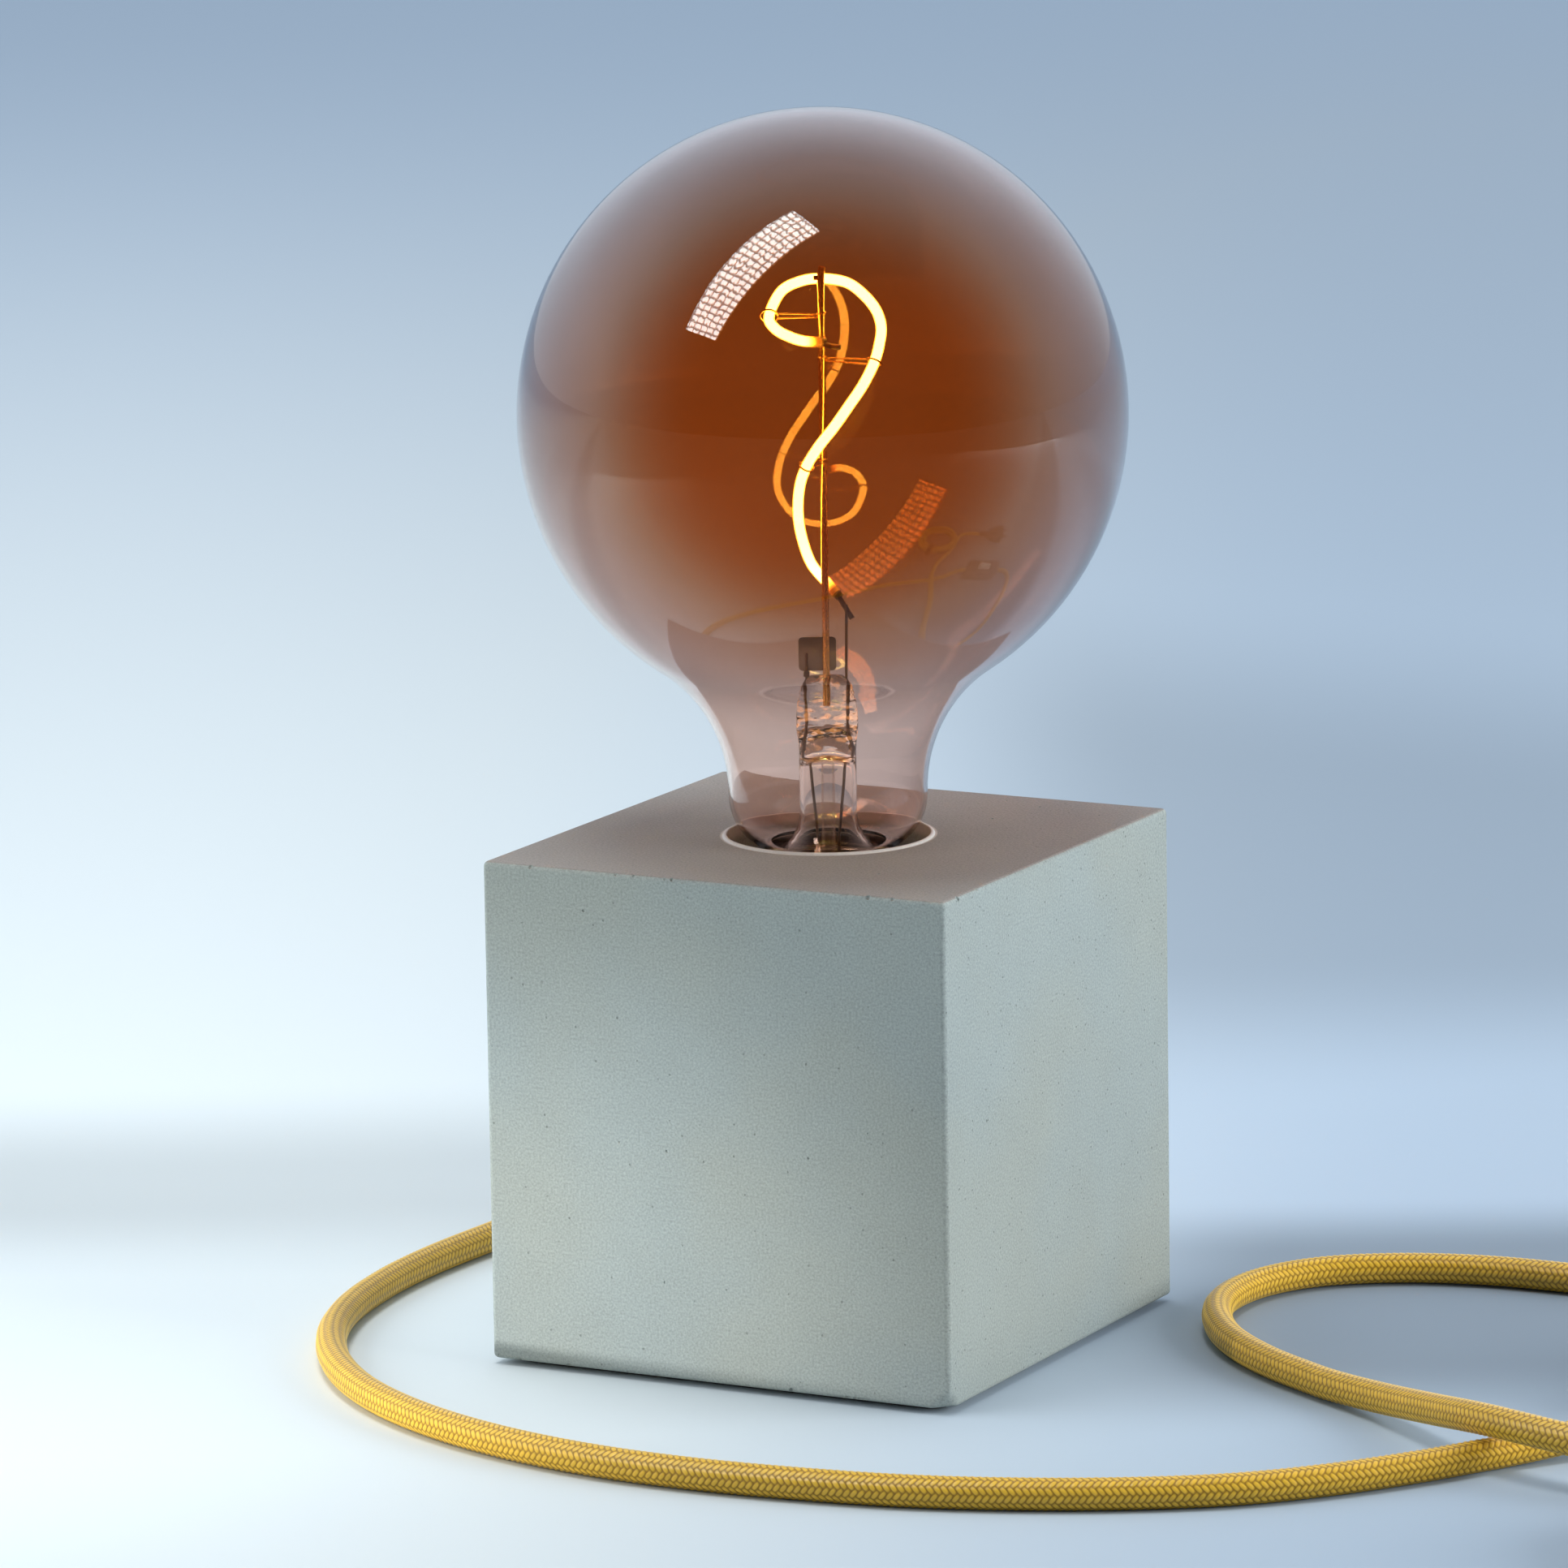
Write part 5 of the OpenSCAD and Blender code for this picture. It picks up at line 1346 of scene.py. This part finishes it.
class CUBELAMP_OT_filament(bpy.types.Operator):
    """Wind the flexible filament round the post, and bend its hooks and ends"""

    bl_idname = "cube_lamp.filament"
    bl_label = "Filament"

    def strand(self, marks):
        """The strand: a lit core in a translucent sleeve."""
        strand = line(marks, 300)
        core = in_globe(wire("filament_core", strand[1:-1], 0.96, 20))
        dress(core, "bulb", "core_glow", "filament")
        sleeve = in_globe(wire("filament_sleeve", strand, 1.14, 24))
        dress(sleeve, "bulb", "sleeve_glow", "filament", "filament")

    def ends(self, marks):
        """The strand's metal ends, and the wires from them to the post and the lead."""
        sag = Vector((0, 0, -0.2))
        top, low = marks[0] + sag, marks[-1]
        weld = marks[0] + 0.25 * (END_TOP - marks[0])
        on_post = Vector((0, 0, weld.z))
        ends = [
            wire("end", line([top, top.lerp(END_TOP, 0.5) + sag, END_TOP], 8), 0.58),
            wire("end", line([low, low.lerp(END_LOW, 0.5), END_LOW], 8), 0.58),
            wire("end", line([(0, 0, weld.z + 0.5), weld.lerp(on_post, 0.5), weld], 10), 0.22)]
        for tip, away in ((marks[0], marks[1]), (marks[-1], marks[-2])):
            toward = (tip - away).normalized()
            ends.append(wire("end", [tip - toward * 0.4, tip + toward * 0.9], 0.95, 20))
        ends = in_globe(joined("filament_tips", *ends))
        dress(smooth(ends, 40), "bulb", "dark_wire", "wire", "filament_ends")

    def hook(self, marks, number):
        """The wires that hold the strand at a mark: a ring, two arms and a winding on the post."""
        c = marks[number]
        way = (marks[number + 1] - marks[number - 1]).normalized()
        out = Vector((c.x, c.y, 0)).normalized()
        a = (out - way * out.dot(way)).normalized()
        b = way.cross(a)
        reach = 1.85 if number == HOOKS[0] else 1.6
        ring = [
            c + reach * (a * math.cos(t) + b * math.sin(t))
            for t in (2 * math.pi * k / 28 for k in range(28))]
        wires = [wire("hook", ring, 0.22, 10, True)]
        on_post = Vector((0, 0, c.z))
        for s in (-1, 1):
            start = on_post + out * 0.6 + Vector((0, 0, 0.28 * s))
            end = c - out * reach + Vector((0, 0, 0.5 * s))
            wires.append(wire("hook", line([start, start.lerp(end, 0.6), end], 12), 0.19, 10))
        winding = [
            on_post + 0.86 * Vector((math.cos(t), math.sin(t), 0.12 * t))
            for t in (2 * math.pi * k / 20 for k in range(31))]
        return [*wires, wire("hook", winding, 0.19, 10)]

    def execute(self, context):
        marks = filament_marks()
        self.strand(marks)
        self.ends(marks)
        wires = [made for number in HOOKS for made in self.hook(marks, number)]
        hooks = in_globe(joined("filament_holders", *wires))
        dress(hooks, "bulb", "gold_wire", "wire", "filament_hooks")
        return {"FINISHED"}


# Switch, plug and strap

# In millimetres: the switch's middle, half its width and length, and the heights of top and joint
SWITCH = (196.0, 30.0)
WIDE = 13.5
LONG = 30.0
HIGH = 18.0
SPLIT = 8.5


class CUBELAMP_OT_switch(bpy.types.Operator):
    """Mould the in-line switch and its rocker"""

    bl_idname = "cube_lamp.switch"
    bl_label = "In-line switch"

    def tray(self, x, y):
        """The lower half of the case, with sunk holes for its screws."""
        tray = self.shell("switch_tray", -1, SPLIT - 0.02)
        for s in (-1, 1):
            cut(tray, turned(drum("head", 3.1, -1, 2.6, 40), (x + s * 8, y + s * 25.5, 0)))
        return tray

    def lid(self, x, y):
        """The upper half of the case, with the rocker's window and grip ribs."""
        lid = self.shell("switch_lid", SPLIT + 0.02, HIGH + 1)
        cut(lid, block("window", (x - 5.8, y - 11.3, 13.5), (x + 5.8, y + 11.3, 20)))
        bevel(lid, 0.35, 3, lambda *ends: all(
            p.z > 17.9 and abs(p.x - x) < 5.9 and abs(p.y - y) < 11.4 for p in ends))
        for n in range(4):
            for s in (-1, 1):
                v = y + s * (16.2 + 2.4 * n)
                cut(lid, soft_block("rib", (x - 7, v - 0.5, 17.6), (x + 7, v + 0.5, 19), 0.3, 2))
        return lid

    def shell(self, name, low, high):
        """The part of the hollow case between two heights."""
        x, y = SWITCH
        wall, grip = 2.0, 8.0
        shell = soft_block(name, (x - WIDE, y - LONG, 0), (x + WIDE, y + LONG, HIGH), 3.5, 8)
        keep = block("keep", (x - 20, y - 40, low), (x + 20, y + 40, high))
        cut(shell, keep, operation="INTERSECT")
        inside = block("inside", (x - WIDE + wall, y - LONG + grip, wall),
                       (x + WIDE - wall, y + LONG - grip, HIGH - wall))
        bores = [
            turned(drum("bore", 3.32, -1, grip + 1, 48), (x, start, SPLIT), (-90, 0, 0))
            for start in (y - LONG, y + LONG - grip)]
        return cut(shell, inside, *bores)

    def at_joint(self, p, q):
        """A test for the outer edges where the two halves of the case meet."""
        (a, b), (c, d) = ((abs(v.x - SWITCH[0]), abs(v.y - SWITCH[1])) for v in (p, q))
        return (
            abs(p.z - SPLIT) < 0.05 and abs(q.z - SPLIT) < 0.05
            and (a > 13.4 or b > 29.9 or abs(a - 10) < 3.6 and b > 26) and (c > 9.9 or d > 26.4))

    def rocker(self, x, y):
        """A rocker with a shallow V on top, drawn level and then tilted to its rest."""
        r, tall, tilt = 10.9, 6.0, 7
        edge = tall + r * math.tan(math.radians(tilt))
        left = [
            (-r * 0.985, -1.0), (-r * 0.985, 1.5), (-10.2, 4.6), (-9.3, edge - 0.75),
            (-8.7, edge - 0.35), (-0.8, tall + 0.1)]
        outline = [*left, (0, tall), *((-v, w) for v, w in reversed(left))]
        outline += [(3, -1.0), (1.5, -4.0), (-1.5, -4.0), (-3, -1.0)]
        piece = draw("switch_key", [(-5.5, v, w) for v, w in outline])
        bpy.ops.mesh.edge_face_add()
        bpy.ops.mesh.extrude_region_move(TRANSFORM_OT_translate={"value": (11 * MM, 0, 0)})
        tidy_mesh()
        bevel(piece, 0.3, 3, lambda p, q: abs(p.x - q.x) < 0.01 and min(p.z, q.z) > -0.5)
        pin = turned(drum("pin", 1.5, -7.5, 7.5, 32), (0, 0, 0), (0, 90, 0))
        piece = turned(joined("switch_key", piece, pin), (0, 0, 0), (-tilt, 0, 0))
        return smooth(turned(piece, (x, y, 13.5)), 35)

    def execute(self, context):
        halves = {"switch_base": self.tray(*SWITCH), "switch_cover": self.lid(*SWITCH)}
        for node, shell in halves.items():
            bevel(shell, 0.3, 2, self.at_joint)
            dress(smooth(shell, 30), "lamp_base", "black_plastic", "black_plastic", node)
        rocker = self.rocker(*SWITCH)
        dress(rocker, "rocker", "ivory_plastic", "white_plastic", "switch_rocker")
        paint("brass", "switch_terminals", "switch_spring")
        paint("brown_core", "switch_leads")
        paint("steel", "switch_screws")
        return {"FINISHED"}


# In millimetres: the plug's middle, half its width, its height, the ends of its sleeve, taper and
# body along the flex, and half the distance of the pins
PLUG = (290.0, 6.85)
PLUG_WIDE = 17.65
PLUG_HIGH = 13.7
PLUG_NOSE = 22
PLUG_TAPER = 43
PLUG_FACE = 58
PLUG_PIN = 9.3


def on_plug(piece, side=0, y=PLUG_FACE):
    """Lay a piece that stands at the origin along the flex, on the plug's middle or a pin."""
    return turned(piece, (PLUG[0] + side * PLUG_PIN, y, PLUG[1]), (-90, 0, 0))


class CUBELAMP_OT_plug(bpy.types.Operator):
    """Mould the flat plug with its relief and pins, and tie the coil"""

    bl_idname = "cube_lamp.plug"
    bl_label = "Plug and strap"

    def body(self):
        """The plug's body, tapered towards the flex, with ribs at its sides."""
        x, z = PLUG
        body = block("plug_shell", (x - PLUG_WIDE, PLUG_NOSE, 0), (x + PLUG_WIDE, PLUG_FACE, PLUG_HIGH))
        edit(body)
        bpy.ops.mesh.bisect(plane_co=(0, PLUG_TAPER * MM, 0), plane_no=(0, 1, 0))
        pick(body, "FACE", lambda *corners: all(abs(p.y - PLUG_NOSE) < 0.01 for p in corners))
        bpy.ops.transform.resize(
            value=(6.5 / PLUG_WIDE, 1, 1), center_override=(x * MM, PLUG_NOSE * MM, z * MM))
        bevel(body, 6, 6, lambda p, q: (
            abs(p.y - PLUG_TAPER) < 0.1 and abs(q.y - PLUG_TAPER) < 0.1 and abs(p.z - q.z) > 5))
        bevel(body, 3, 6)
        for n in range(4):
            for s in (-1, 1):
                side, y = x + s * 16.9, 44.2 + 3 * n
                rib = soft_block("rib", (side - 1, y, 2.4), (side + 1, y + 1.2, 11.3), 0.35, 2)
                cut(body, turned(rib, (s * 1.3, 0, 0)))
        return cut(body, *[on_plug(drum("hole", 1.4, -8, 1, 32), s) for s in (-1, 1)])

    def relief(self):
        """The ribbed sleeve between plug and flex."""
        rows = [(3.55, 0), (4.0, 0.2), (4.15, 1.0)]
        for n in range(5):
            base = 2.2 + 4.0 * n
            r = 4.1 + 0.12 * n
            rows += [
                (r, base), (r + 0.55 + 0.1 * n, base + 0.4), (r + 0.6 + 0.1 * n, base + 2.0),
                (r + 0.05, base + 2.4), (r + 0.05, base + 3.6)]
        rows = [p for p in rows if p[1] < 21.9] + [(4.75, 22.0), (3.3, 22.0), (3.3, 0.05)]
        return on_plug(lathe("plug_sleeve", rows, 48, True), 0, 0)

    def strap(self):
        """A flat band with soft corners round the coil."""
        low, high = (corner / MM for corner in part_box("coil_strap"))
        wall = Vector((0.8, -1, 0.8))
        band = block("tie_band", low, high)
        bevel(band, 2.2, 6, along("y", 5))
        hollow = block("hollow", low + wall, high - wall)
        bevel(hollow, 1.5, 6, along("y", 5))
        return cut(band, hollow)

    def pins(self):
        """The two pins, each with a sleeve at its root."""
        pin = [
            (0, -7.9), (1.3, -7.9), (1.3, 9.9), (1.85, 10.0), (2.0, 10.2), (2.0, 17.4),
            *arc(0.7, 17.6, 1.3, 0, 90, 6)[1:], (0, 18.95)]
        collar = [(1.36, 0.05), (1.75, 0.05), (1.8, 0.2), (1.8, 9.75), (1.7, 9.95), (1.36, 9.95)]
        pins = [on_plug(lathe("pin", pin, 40), s) for s in (-1, 1)]
        collars = [on_plug(lathe("collar", collar, 40, True), s) for s in (-1, 1)]
        pins = smooth(joined("plug_pin_pair", *pins))
        dress(pins, "lamp_base", "pin_metal", "steel", "plug_pins")
        collars = smooth(joined("pin_collars", *collars))
        dress(collars, "lamp_base", "matt_plastic", "black_plastic", "pin_sleeves")

    def execute(self, context):
        dress(smooth(self.body(), 32), "lamp_base", "black_plastic", "black_plastic", "plug_body")
        dress(smooth(self.relief(), 35), "lamp_base", "matt_plastic", "black_plastic", "plug_relief")
        self.pins()
        dress(smooth(self.strap(), 40), "lamp_base", "tie", "black_plastic", "coil_strap")
        return {"FINISHED"}


# Panel and registration

OPERATORS = [
    CUBELAMP_OT_stage, CUBELAMP_OT_flex, CUBELAMP_OT_concrete, CUBELAMP_OT_holder,
    CUBELAMP_OT_globe, CUBELAMP_OT_cap, CUBELAMP_OT_stem, CUBELAMP_OT_filament,
    CUBELAMP_OT_switch, CUBELAMP_OT_plug, CUBELAMP_OT_measure,
]


class CUBELAMP_PT_panel(bpy.types.Panel):
    """Lists the lamp's pieces and settings"""

    bl_idname = "CUBELAMP_PT_panel"
    bl_label = "Cube lamp"
    bl_space_type = "VIEW_3D"
    bl_region_type = "UI"
    bl_category = "Cube lamp"

    def draw(self, context):
        for operator in OPERATORS:
            self.layout.operator(operator.bl_idname)
        for name, group in SETTINGS.items():
            box = self.layout.box()
            box.label(text=name.capitalize())
            for key in group.__annotations__:
                box.prop(chosen(name), key)


def register():
    for group in SETTINGS.values():
        bpy.utils.register_class(group)
    for operator in OPERATORS:
        bpy.utils.register_class(operator)
    bpy.utils.register_class(CUBELAMP_PT_panel)
    for name, group in SETTINGS.items():
        setattr(bpy.types.Scene, "cube_lamp_" + name, bpy.props.PointerProperty(type=group))


def unregister():
    for name in SETTINGS:
        delattr(bpy.types.Scene, "cube_lamp_" + name)
    bpy.utils.unregister_class(CUBELAMP_PT_panel)
    for operator in reversed(OPERATORS):
        bpy.utils.unregister_class(operator)
    for group in reversed(SETTINGS.values()):
        bpy.utils.unregister_class(group)


def main():
    register()
    FINISH.update(finishes())
    for operator in OPERATORS:
        group, name = operator.bl_idname.split(".")
        getattr(getattr(bpy.ops, group), name)()


if __name__ == "__main__":
    main()
